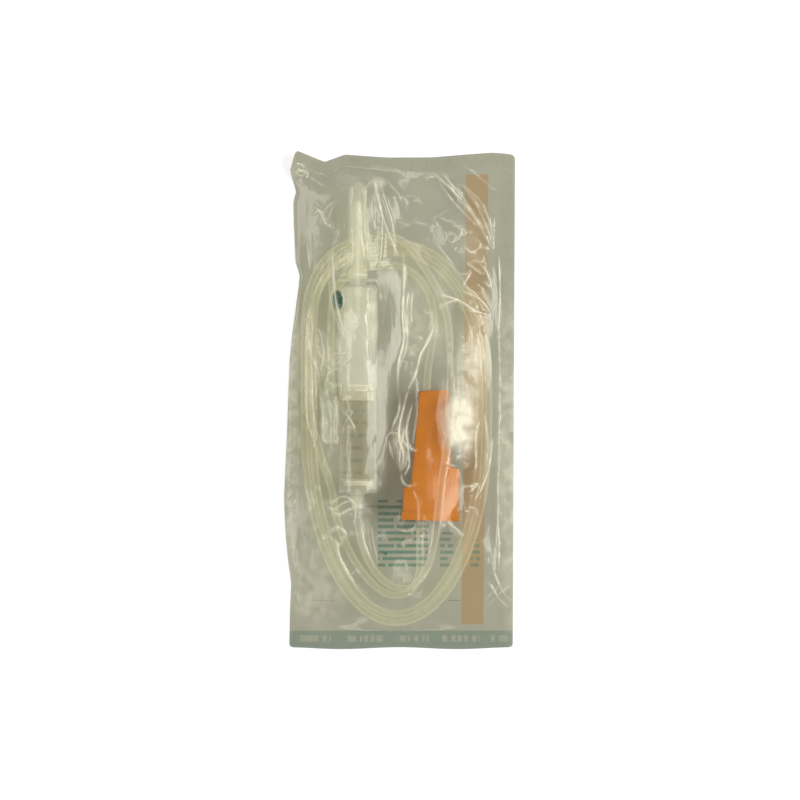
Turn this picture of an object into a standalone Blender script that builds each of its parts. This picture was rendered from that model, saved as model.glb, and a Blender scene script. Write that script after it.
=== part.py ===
"""An infusion set sealed in its peel pouch, lying on the paper web with the clear film on top.

Metres. +Z points up out of the film, +Y to the pouch's top edge and +X to its right edge, as seen
from above. The origin is the middle of the pouch's footprint, at the underside of the paper web.
"""

import math

import bmesh
import bpy
import numpy as np
from mathutils import Matrix, Vector

# What touches keeps this gap, and so does what slides.
SEAT_GAP = 0.0003
SLIDE_GAP = 0.0002

# The pouch: two webs sealed round the edge.
POUCH_WIDTH = 0.1224
POUCH_LENGTH = 0.2640
WEB_THICKNESS = 0.0002
FILM_THICKNESS = 0.00015
SEAL_LEFT = 0.0021
SEAL_RIGHT = 0.0080
SEAL_TOP = 0.0075
SEAL_BOTTOM = 0.0095
CORNER_RADIUS = 0.0018
CORNER_LIFT = 0.0050
CORNER_FOLD = 0.0230
FILM_COLUMNS = 18
FILM_ROWS = 37
FILM_CLIMB = 0.0022

# The tube.
TUBE_DIAMETER = 0.0041
TUBE_BORE = 0.0030
TUBE_POINT_SPACING = 0.0105
SOCKET_DEPTH = 0.0060

# The coil: an oval band of turns lying side by side.
COIL_LEFT = -0.0522
COIL_RIGHT = 0.0490
COIL_TOP = 0.0890
COIL_BOTTOM = -0.1198
COIL_SIDE_WIDTH = 0.0090
COIL_LEFT_WIDTH = 0.0105
COIL_TOP_WIDTH = 0.0132
COIL_CORNER_POINTS = 7
COIL_MIDDLE_Y = -0.0010

# Each corner of the coil: which way it lies from the middle, where its side stops being straight,
# and how square it is, from 2 for an oval up.
COIL_CORNERS = [
    (1, 1, 0.0150, 2.0),
    (-1, 1, 0.0318, 2.7),
    (-1, -1, -0.0175, 2.0),
    (1, -1, -0.0175, 2.0),
]

# The drip chamber assembly lies along Y. Its lengths are counted along that axis.
CHAMBER_X = -0.0220
CHAMBER_JOINT_Y = 0.0058
CHAMBER_RADIUS = 0.01025
HOUSING_LENGTH = 0.0546
HOUSING_WALL = 0.0012
HOUSING_SHOULDER = 0.0022
RIM_HEIGHT = 0.0020
SPIGOT_LENGTH = 0.0060
SLEEVE_LENGTH = 0.0524
SLEEVE_WALL = 0.0009
NECK_RADIUS = 0.0045
WING_REACH = 0.0100
WING_HALF_DEPTH = 0.0054
FLANGE_THICKNESS = 0.0014
FLANGE_STANDOFF = 0.0018
COLLAR_LENGTH = 0.0060
SPIKE_RADIUS = 0.0028
SPIKE_LENGTH = 0.0440
SPIKE_BEVEL = 0.0080
SPIKE_BORE_RADIUS = 0.0011
AIR_BORE_RADIUS = 0.0005
DROP_TUBE_RADIUS = 0.0016
DROP_TUBE_BORE = 0.0006
DROP_TUBE_LENGTH = 0.0170
DROP_TUBE_SEAT = 0.0050
DROP_BOSS_WALL = 0.0010

# The spike's cap.
CAP_WALL = 0.0008
CAP_LENGTH = 0.0510
CAP_TIP_RADIUS = 0.0050
CAP_BEAD = 0.0002

# The air vent, on the housing's left side and turned up a little.
VENT_TURN = math.radians(24)
VENT_DROP = 0.0084
VENT_RADIUS = 0.0060
VENT_REACH = 0.0108
VENT_RECESS_RADIUS = 0.0042
VENT_RECESS_DEPTH = 0.0018
VENT_HOLE_RADIUS = 0.0010
VENT_FILTER_THICKNESS = 0.0005
VENT_CAP_THICKNESS = 0.0015
VENT_CAP_OVERLAP = 0.0003
VENT_PLUG_DEPTH = 0.0008

# The chamber's base, with the fluid filter.
BASE_PLUG_LENGTH = 0.0052
BASE_RIM_THICKNESS = 0.0016
BASE_CUP_WALL = 0.0011
FILTER_LEDGE_DEPTH = 0.0034
FILTER_THICKNESS = 0.0004
FILTER_RING_HEIGHT = 0.0014
FILTER_RING_WALL = 0.0014
FUNNEL_RADIUS = 0.0066
FUNNEL_DEPTH = 0.0030
NOZZLE_RADIUS = 0.0034
NOZZLE_LENGTH = 0.0082
NOZZLE_WALL = 0.0010

# The roller clamp lies on its side: its length is along Y, its floor to the left, its depth up.
CLAMP_X = 0.0162
CLAMP_Y = -0.0633
CLAMP_TURN = math.radians(-1.5)
CLAMP_LENGTH = 0.0690
CLAMP_TOP_HALF = 0.0075
CLAMP_WAIST_HALF = 0.0100
CLAMP_BASE_HALF = 0.0146
CLAMP_RIM_HALF = 0.0152
CLAMP_RIM_HEIGHT = 0.0042
CLAMP_RIM_DEPTH = 0.0160
CLAMP_DEPTH = 0.0124
CLAMP_WALL = 0.0016
CLAMP_FLOOR = 0.0015
LEFT_SHOULDER = 0.0185
RIGHT_SHOULDER = 0.0282
SHOULDER_SLOPE = 0.0020
CLAMP_FILLET = 0.0006
CHANNEL_START = 0.0305
DUCT_WIDTH = 0.0054
DUCT_HEIGHT = 0.0056
PARKING_RADIUS = 0.0038
PARKING_DEPTH = 0.0240
PARKING_WALL = 0.0014
FOOT_POCKET_DEPTH = 0.0150

# The roller, open at rest, and its slide towards the narrow end.
ROLLER_RADIUS = 0.0075
ROLLER_PLACE = 0.0450
ROLLER_TEETH = 24
ROLLER_TOOTH = 0.0004
TRUNNION_RADIUS = 0.0012
TRUNNION_DEPTH = 0.0009
ROLLER_RECESS = 0.0008
ROLLER_RIM = 0.0018
ROLLER_HUB = 0.0026
GROOVE_SLOPE = math.radians(8.3)
ROLLER_TRAVEL = 0.0170

# The connector, beside the chamber and pointing down the pouch.
LUER_X = -0.0363
LUER_Y = 0.0095
HUB_RADIUS = 0.0031
HUB_LENGTH = 0.0095
HUB_FLANGE_RADIUS = 0.0040
HUB_FLANGE = 0.0012
HUB_NECK_RADIUS = 0.0022
TAPER_BASE_RADIUS = 0.00215
TAPER_TIP_RADIUS = 0.00195
TAPER_LENGTH = 0.0105
TAPER_BORE_RADIUS = 0.0010
LUER_COLLAR_RADIUS = 0.0045
LUER_COLLAR_LENGTH = 0.0100
LUER_COLLAR_WALL = 0.0009
LUER_COLLAR_FLOOR = 0.0011
COLLAR_RIB_COUNT = 10
COLLAR_RIB = 0.0004
LUER_CAP_FLANGE = 0.0022
LUER_CAP_RADIUS = 0.0036
LUER_CAP_LENGTH = 0.0124
LUER_CAP_SKIRT = 0.0060
LUER_CAP_WALL = 0.0008
LUER_CAP_END_RING = 0.0030
LUER_CAP_END_RADIUS = 0.0043
MEMBRANE_THICKNESS = 0.0003
MEMBRANE_SEAT = 0.0020

# How steeply the film falls away from what it covers, as a rise over a run.
FILM_SLOPE = 0.75
FILM_STEEP = 1.6
FILM_CLEARLY = 5
FILM_EVENING = 2
FILM_PROBES = 5
FILM_PASSES = 12

# Places along the tube that is not coiled: metres, chosen by hand.
RUN_FROM_CHAMBER = [
    (-0.0220, -0.0594, 0.01030), (-0.0215, -0.0678, 0.00820), (-0.0193, -0.0774, 0.00480),
    (-0.0156, -0.0864, 0.00290), (-0.0093, -0.0949, 0.00280), (-0.0019, -0.0992, 0.00420),
    (0.0056, -0.0990, 0.00740), (0.0114, -0.0938, 0.01150), (0.0156, -0.0855, 0.01540),
    (0.0178, -0.0765, 0.01800), (0.0193, -0.0678, 0.01920), (0.0204, -0.0557, 0.01935),
    (0.0220, -0.0424, 0.01920), (0.0241, -0.0292, 0.01840), (0.0257, -0.0159, 0.01760),
    (0.0265, -0.0027, 0.01730), (0.0268, 0.0080, 0.01640), (0.0268, 0.0186, 0.01340),
    (0.0266, 0.0292, 0.00960), (0.0259, 0.0382, 0.00760), (0.0243, 0.0466, 0.00700),
    (0.0215, 0.0551, 0.00700), (0.0167, 0.0641, 0.00700), (0.0109, 0.0731, 0.00700),
    (0.0045, 0.0816, 0.00700),
]
RUN_TO_CLAMP = [
    (-0.0357, -0.0480, 0.00260), (-0.0336, -0.0610, 0.00260), (-0.0292, -0.0742, 0.00260),
    (-0.0226, -0.0870, 0.00260), (-0.0146, -0.0970, 0.00260), (-0.0072, -0.1022, 0.00260),
    (0.0002, -0.1034, 0.00260), (0.0064, -0.1003, 0.00300), (0.0099, -0.0935, 0.00420),
    (0.0109, -0.0848, 0.00620), (0.0108, -0.0753, 0.00790),
]
RUN_TO_CONNECTOR = [
    (0.0152, 0.0170, 0.00790), (0.0167, 0.0265, 0.00590), (0.0181, 0.0366, 0.00360),
    (0.0180, 0.0466, 0.00265), (0.0158, 0.0557, 0.00260), (0.0117, 0.0629, 0.00260),
    (0.0055, 0.0683, 0.00260), (-0.0029, 0.0713, 0.00255), (-0.0126, 0.0710, 0.00255),
    (-0.0220, 0.0686, 0.00255), (-0.0295, 0.0643, 0.00255), (-0.0338, 0.0580, 0.00260),
    (-0.0356, 0.0500, 0.00265), (-0.0362, 0.0400, 0.00295), (-0.0363, 0.0310, 0.00365),
    (-0.0363, 0.0220, 0.00440),
]

# The pouch's left edge: places along it and how far left it lies there, from the bottom up.
LEFT_EDGE = [
    (-0.1320, -0.0584), (-0.1120, -0.0580), (-0.0980, -0.0574), (-0.0853, -0.0591), (-0.0740, -0.0602),
    (-0.0640, -0.0608), (-0.0530, -0.0612), (-0.0380, -0.0606), (-0.0175, -0.0596), (0.0020, -0.0590),
    (0.0207, -0.0580), (0.0340, -0.0568), (0.0461, -0.0552), (0.0550, -0.0540), (0.0631, -0.0534),
    (0.0710, -0.0545), (0.0800, -0.0560), (0.0920, -0.0566), (0.1055, -0.0565), (0.1130, -0.0556),
    (0.1200, -0.0574), (0.1309, -0.0568),
]

# Its top edge, from left to right: places across it and how high it lies there.
TOP_EDGE = [
    (-0.0580, 0.1318), (-0.0560, 0.1320), (-0.0517, 0.1313), (-0.0474, 0.1296), (-0.0432, 0.1272),
    (-0.0390, 0.1267), (-0.0347, 0.1283), (-0.0305, 0.1300), (-0.0220, 0.1298), (-0.0135, 0.1293),
    (-0.0093, 0.1289), (0.0162, 0.1288), (0.0246, 0.1293), (0.0374, 0.1303), (0.0458, 0.1313),
    (0.0543, 0.1304), (0.0612, 0.1299),
]

# Worked out from the sizes above.
LAY_Z = WEB_THICKNESS + SEAT_GAP
TUBE_RADIUS = TUBE_DIAMETER / 2
SOCKET_RADIUS = TUBE_RADIUS + SEAT_GAP
CHAMBER_Z = LAY_Z + CHAMBER_RADIUS
DECK_Y = CHAMBER_JOINT_Y + HOUSING_LENGTH
SLEEVE_END_Y = CHAMBER_JOINT_Y - SEAT_GAP - SLEEVE_LENGTH
SLEEVE_INNER = CHAMBER_RADIUS - SLEEVE_WALL
FLANGE_Y = DECK_Y + FLANGE_STANDOFF
CAP_MOUTH_RADIUS = NECK_RADIUS + SEAT_GAP + CAP_WALL
CAP_MOUTH_Y = FLANGE_Y + FLANGE_THICKNESS + SEAT_GAP
CLAMP_Z = LAY_Z + CLAMP_RIM_DEPTH / 2
CHANNEL_HALF = CLAMP_DEPTH / 2 - CLAMP_WALL
LUER_Z = LAY_Z + LUER_COLLAR_RADIUS
NOZZLE_END_Y = SLEEVE_END_Y - SEAT_GAP - BASE_RIM_THICKNESS - NOZZLE_LENGTH


def material(name, colour, roughness, alpha=1.0, metallic=0.0):
    """A Principled material in one plain colour, given as red, green and blue from 0 to 1."""
    made = bpy.data.materials.new(name)
    made.use_nodes = True
    shader = made.node_tree.nodes["Principled BSDF"]
    shader.inputs["Base Color"].default_value = (*colour, 1)
    shader.inputs["Roughness"].default_value = roughness
    shader.inputs["Metallic"].default_value = metallic
    shader.inputs["Alpha"].default_value = alpha
    return made


def finish_object(name, bm, finish, smooth_angle=math.radians(35)):
    """Turns a bmesh into a named object of that material, shaded smooth where it is round."""
    bmesh.ops.recalc_face_normals(bm, faces=bm.faces)
    mesh = bpy.data.meshes.new(name)
    bm.to_mesh(mesh)
    bm.free()
    mesh.shade_smooth()
    mesh.set_sharp_from_angle(angle=smooth_angle)
    mesh.materials.append(finish)
    made = bpy.data.objects.new(name, mesh)
    bpy.context.scene.collection.objects.link(made)
    return made


def turned(profile, segments):
    """A closed solid made by turning an outline of (radius, height) points round Z."""
    bm = bmesh.new()
    ring = [bm.verts.new((radius, 0, height)) for radius, height in profile]
    edges = [bm.edges.new((a, b)) for a, b in zip(ring, ring[1:] + ring[:1])]
    bmesh.ops.spin(
        bm, geom=ring + edges, cent=(0, 0, 0), axis=(0, 0, 1), angle=2 * math.pi, steps=segments,
        use_merge=True,
    )
    bmesh.ops.remove_doubles(bm, verts=bm.verts, dist=1e-7)
    on_axis = [e for e in bm.edges if not e.link_faces]
    bmesh.ops.delete(bm, geom=on_axis, context="EDGES")
    return bm


def extruded(outline, low, high):
    """A prism with that outline of (x, y) points, from low to high along Z."""
    bm = bmesh.new()
    face = bm.faces.new([bm.verts.new((x, y, low)) for x, y in outline])
    lifted = bmesh.ops.extrude_face_region(bm, geom=[face])
    tops = [v for v in lifted["geom"] if isinstance(v, bmesh.types.BMVert)]
    bmesh.ops.translate(bm, verts=tops, vec=(0, 0, high - low))
    return bm


def circle(radius, count, centre=(0.0, 0.0)):
    """The corners of a regular outline round a centre."""
    turns = [2 * math.pi * k / count for k in range(count)]
    return [(centre[0] + radius * math.cos(t), centre[1] + radius * math.sin(t)) for t in turns]


def slot_outline(start, end, radius, count=6):
    """A slot with round ends between two places."""
    heading = math.atan2(end[1] - start[1], end[0] - start[0])
    points = []
    for centre, first in ((end, heading - math.pi / 2), (start, heading + math.pi / 2)):
        for k in range(count + 1):
            turn = first + math.pi * k / count
            points.append((centre[0] + radius * math.cos(turn), centre[1] + radius * math.sin(turn)))
    return points


def cutter(name, bm):
    """A hidden helper that another solid is cut with."""
    made = finish_object(name, bm, material(name, (0.5, 0.5, 0.5), 0.5))
    made.hide_render = True
    made.display_type = "WIRE"
    return made


def combine(target, tool, operation):
    """Cuts a helper out of a solid, or joins it to the solid."""
    step = target.modifiers.new(f"{operation.lower()}_{tool.name}", "BOOLEAN")
    step.operation = operation
    step.object = tool
    step.solver = "EXACT"


def along_y(made, x, y, z):
    """Lays a turned piece along Y: its own +Z then points to +Y, from that place."""
    made.matrix_world = Matrix.Translation((x, y, z)) @ Matrix.Rotation(-math.pi / 2, 4, "X")


def along_minus_y(made, x, y, z):
    """Lays a turned piece along Y: its own +Z then points to -Y, from that place."""
    made.matrix_world = Matrix.Translation((x, y, z)) @ Matrix.Rotation(math.pi / 2, 4, "X")


# The pouch's outline


def left_edge(y):
    """The left edge, drawn in at the waist where the film pulls it."""
    return float(np.interp(y, [place for place, _ in LEFT_EDGE], [edge for _, edge in LEFT_EDGE]))


def right_edge(y):
    """The right edge, a little wider towards the top."""
    return POUCH_WIDTH / 2 - 0.0006 * (1 - 2 * y / POUCH_LENGTH)


def top_edge(x):
    """The top edge, with the notch beside the bent corner."""
    return float(np.interp(x, [place for place, _ in TOP_EDGE], [edge for _, edge in TOP_EDGE]))


def bottom_edge(x):
    """The bottom edge, very slightly waved."""
    return -POUCH_LENGTH / 2 + 0.0005 * (1 + math.cos(4 * math.pi * x / POUCH_WIDTH))


def web_place(u, v):
    """The place on the flat web for shares across (u) and along (v) from 0 to 1."""
    y = (v - 0.5) * POUCH_LENGTH
    x = left_edge(y) + u * (right_edge(y) - left_edge(y))
    y = bottom_edge(x) + v * (top_edge(x) - bottom_edge(x))
    in_x = min(u, 1 - u) * POUCH_WIDTH
    in_y = min(v, 1 - v) * POUCH_LENGTH
    if in_x < CORNER_RADIUS and in_y < CORNER_RADIUS:
        pull = (CORNER_RADIUS - max(in_x, in_y)) * 0.3
        x += pull if u < 0.5 else -pull
        y += pull if v < 0.5 else -pull
    return x, y


def corner_rise(x, y):
    """How far the bent top left corner stands off the table there."""
    beyond = (CORNER_FOLD - (x + POUCH_WIDTH / 2) - (POUCH_LENGTH / 2 - y)) / CORNER_FOLD
    t = min(max(beyond, 0.0), 1.0)
    return CORNER_LIFT * t * t * (3 - 2 * t) * 1.6


# The film's form: a taut sheet over what it covers


def taut(distance, radius, centre_z, slope):
    """The height of a film over a round bar, that far to its side: over the round, then straight down."""
    steep = math.sqrt(1 + slope * slope)
    leaves = radius * slope / steep
    over = centre_z + np.sqrt(np.maximum(radius * radius - np.minimum(distance, leaves) ** 2, 0))
    return over - slope * np.maximum(distance - leaves, 0)


def distance_to(x, y, a, b):
    """How far places are from the line between two places, and how far along it the nearest ones are."""
    dx, dy = b[0] - a[0], b[1] - a[1]
    size = dx * dx + dy * dy
    t = np.clip(((x - a[0]) * dx + (y - a[1]) * dy) / size, 0, 1)
    return np.hypot(x - a[0] - t * dx, y - a[1] - t * dy), t


def coil_distance(x, y):
    """How far outside the coil's band places are, with 0 on the band."""
    middle = (COIL_LEFT + COIL_RIGHT) / 2
    half = (COIL_RIGHT - COIL_LEFT) / 2
    outside = np.full(np.shape(x), -half)
    for side, end, start, squareness in COIL_CORNERS:
        reach = abs((COIL_TOP if end > 0 else COIL_BOTTOM) - start)
        across = np.maximum(side * (x - middle), 0) / half
        along = np.maximum(end * (y - start), 0) / reach
        share = (across**squareness + along**squareness) ** (1 / squareness)
        here = (side * (x - middle) >= 0) & (end * (y - COIL_MIDDLE_Y) >= 0)
        outside = np.where(here, (share - 1) * half, outside)
    return np.maximum(np.maximum(outside, -outside - COIL_TOP_WIDTH), 0)


def box_distance(x, y, low, high):
    """How far places are from a box seen from above."""
    across = np.maximum(np.maximum(low[0] - x, x - high[0]), 0)
    along = np.maximum(np.maximum(low[1] - y, y - high[1]), 0)
    return np.hypot(across, along)


def covered_height(x, y, steeper=1.0):
    """How high the film lies over places for what it covers, falling away that much more steeply."""
    gentle = FILM_SLOPE * steeper
    steep = FILM_STEEP * steeper
    vent = VENT_REACH + VENT_CAP_THICKNESS
    vent_x = CHAMBER_X - vent * math.cos(VENT_TURN) * 0.9
    vent_z = CHAMBER_Z + vent * math.sin(VENT_TURN)
    vent_at = (vent_x, DECK_Y - VENT_DROP)
    luer_end = LUER_Y - HUB_LENGTH - LUER_COLLAR_LENGTH - LUER_CAP_LENGTH
    cap_end = CAP_MOUTH_Y + CAP_LENGTH - CAP_TIP_RADIUS
    bars = [
        ((CHAMBER_X, DECK_Y), (CHAMBER_X, SLEEVE_END_Y), CHAMBER_RADIUS, CHAMBER_Z, gentle),
        ((CHAMBER_X, cap_end), (CHAMBER_X, CAP_MOUTH_Y), CAP_MOUTH_RADIUS + CAP_BEAD, CHAMBER_Z, gentle),
        ((LUER_X, LUER_Y), (LUER_X, luer_end), LUER_COLLAR_RADIUS, LUER_Z, steep),
    ]
    heights = [taut(distance_to(x, y, a, b)[0], radius, z, slope) for a, b, radius, z, slope in bars]
    heights.append(taut(np.hypot(x - vent_at[0], y - vent_at[1]), VENT_RADIUS, vent_z, steep))
    heights.append(LAY_Z + TUBE_DIAMETER - steep * coil_distance(x, y))
    lean = CLAMP_LENGTH * abs(math.sin(CLAMP_TURN))
    base_low = CLAMP_X - CLAMP_RIM_HALF, CLAMP_Y - lean / 2
    base_high = CLAMP_X + CLAMP_RIM_HALF + lean / 2, CLAMP_Y + CLAMP_RIM_HEIGHT + lean / 2
    heights.append(CLAMP_Z + CLAMP_RIM_DEPTH / 2 - gentle * box_distance(x, y, base_low, base_high))
    body_high = base_high[0], CLAMP_Y + RIGHT_SHOULDER + lean / 2
    heights.append(CLAMP_Z + CLAMP_DEPTH / 2 - gentle * box_distance(x, y, base_low, body_high))
    wheel = [tuple(clamp_frame() @ Vector((*place, 0))) for place in (roller_rest(), roller_closed())]
    away = np.maximum(distance_to(x, y, *wheel)[0] - ROLLER_RADIUS, 0)
    heights.append(CLAMP_Z + CLAMP_DEPTH / 2 - gentle * away)
    ends = [tuple(clamp_frame() @ Vector((0, y, 0))) for y in (0, CLAMP_LENGTH)]
    away = np.maximum(distance_to(x, y, *ends)[0] - CLAMP_WAIST_HALF, 0)
    heights.append(CLAMP_Z + CLAMP_DEPTH / 2 - gentle * away)
    for run in (RUN_FROM_CHAMBER, RUN_TO_CLAMP, RUN_TO_CONNECTOR):
        for a, b in zip(run, run[1:]):
            away, t = distance_to(x, y, a, b)
            heights.append(taut(away, TUBE_RADIUS + 0.0001, a[2] + t * (b[2] - a[2]), gentle))
    return np.max(heights, axis=0) + SEAT_GAP


def grid_lines():
    """Shares across and along for the film's grid lines: on the seals, beside them, then evenly."""
    low, high = SEAL_LEFT + FILM_CLIMB, POUCH_WIDTH - SEAL_RIGHT
    across = [0.0, SEAL_LEFT] + [float(place) for place in np.linspace(low, high, FILM_COLUMNS)]
    across.append(POUCH_WIDTH)
    low, high = SEAL_BOTTOM + FILM_CLIMB, POUCH_LENGTH - SEAL_TOP - FILM_CLIMB
    along = [0.0, SEAL_BOTTOM] + [float(place) for place in np.linspace(low, high, FILM_ROWS)]
    along += [POUCH_LENGTH - SEAL_TOP, POUCH_LENGTH]
    return [place / POUCH_WIDTH for place in across], [place / POUCH_LENGTH for place in along]


def web_lines():
    """The film's grid lines where the corner is bent, and every third one elsewhere."""
    across, along = grid_lines()
    bent = CORNER_FOLD * 1.2
    columns = [u for k, u in enumerate(across) if u * POUCH_WIDTH < bent or k % 3 == 0 or u == 1.0]
    rows = [v for k, v in enumerate(along) if (1 - v) * POUCH_LENGTH < bent or k % 3 == 0]
    return columns, rows


def film_grid():
    """Places and heights of the film's lower face."""
    across, along = grid_lines()
    places = np.array([[web_place(u, v) for u in across] for v in along])
    sealed = WEB_THICKNESS + SEAT_GAP

    def settle(height):
        height[:2] = height[-2:] = sealed
        height[:, :2] = height[:, -2:] = sealed
        return height

    from_left = np.array(across) * POUCH_WIDTH
    from_bottom = np.array(along) * POUCH_LENGTH
    from_sides = np.minimum(from_left - SEAL_LEFT, POUCH_WIDTH - SEAL_RIGHT - from_left)
    from_ends = np.minimum(from_bottom - SEAL_BOTTOM, POUCH_LENGTH - SEAL_TOP - from_bottom)
    inside = np.minimum(from_sides[None, :], from_ends[:, None])
    form = np.minimum(covered_height(places[..., 0], places[..., 1]), sealed + FILM_STEEP * inside)
    needed = settle(np.maximum(form, sealed))
    height = needed
    for _ in range(FILM_EVENING):
        beside = height[1:-1, :-2] + height[1:-1, 2:]
        evened = height.copy()
        evened[1:-1, 1:-1] = (height[:-2, 1:-1] + height[2:, 1:-1] + beside) / 4
        height = settle(np.maximum(evened, needed))

    # The two triangles of each cell are read at places inside them, and the corners raised to clear.
    shares = []
    for s in np.linspace(0, 1, FILM_PROBES):
        for t in np.linspace(0, 1, FILM_PROBES):
            weights = (1 - s, s - t, 0, t) if s >= t else (1 - t, 0, t - s, s)
            shares.append(weights)
    corners = [(slice(0, -1), slice(0, -1)), (slice(0, -1), slice(1, None)),
               (slice(1, None), slice(0, -1)), (slice(1, None), slice(1, None))]
    probes = []
    for weights in shares:
        at = sum(w * places[corner] for w, corner in zip(weights, corners))
        probes.append(np.maximum(covered_height(at[..., 0], at[..., 1], FILM_CLEARLY), sealed))
    for last in [False] * FILM_PASSES + [True]:
        raised = height.copy()
        for weights, wanted in zip(shares, probes):
            short = np.maximum(wanted - sum(w * height[corner] for w, corner in zip(weights, corners)), 0)
            spread = sum(w * w for w in weights)
            for w, corner in zip(weights, corners):
                if w > 0:
                    lift = short if last else short * w / spread
                    raised[corner] = np.maximum(raised[corner], height[corner] + lift)
        height = settle(raised)
    return places, height


def sheet_solid(places, lower, thickness):
    """A closed thin solid between a grid of places and the same grid a thickness higher."""
    bm = bmesh.new()
    rows, columns = len(places), len(places[0])
    layers = []
    for lift in (0.0, thickness):
        layers.append([
            [bm.verts.new((*places[j][i], lower[j][i] + lift)) for i in range(columns)] for j in range(rows)
        ])
    under, over = layers
    for j in range(rows - 1):
        for i in range(columns - 1):
            bm.faces.new((under[j][i], under[j + 1][i + 1], under[j][i + 1]))
            bm.faces.new((under[j][i], under[j + 1][i], under[j + 1][i + 1]))
            bm.faces.new((over[j][i], over[j][i + 1], over[j + 1][i + 1]))
            bm.faces.new((over[j][i], over[j + 1][i + 1], over[j + 1][i]))
    rim = [(0, i) for i in range(columns)] + [(j, columns - 1) for j in range(1, rows)]
    rim += [(rows - 1, i) for i in range(columns - 2, -1, -1)] + [(j, 0) for j in range(rows - 2, 0, -1)]
    for (j0, i0), (j1, i1) in zip(rim, rim[1:] + rim[:1]):
        bm.faces.new((under[j0][i0], under[j1][i1], over[j1][i1], over[j0][i0]))
    return bm


def pouch():
    """The paper web below and the formed film above it."""
    across, along = web_lines()
    places = [[web_place(u, v) for u in across] for v in along]
    lower = [[corner_rise(*place) for place in row] for row in places]
    finish_object(
        "pouch_back_web",
        sheet_solid(places, lower, WEB_THICKNESS),
        material("coated paper", (0.52, 0.52, 0.44), 0.55),
    )
    places, height = film_grid()
    columns = range(len(places[0]))
    lower = [[height[j][i] + corner_rise(*places[j][i]) for i in columns] for j in range(len(places))]
    finish_object(
        "pouch_front_film",
        sheet_solid(places, lower, FILM_THICKNESS),
        material("clear film", (0.86, 0.87, 0.82), 0.12, alpha=0.25),
    )


# The drip chamber


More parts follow.
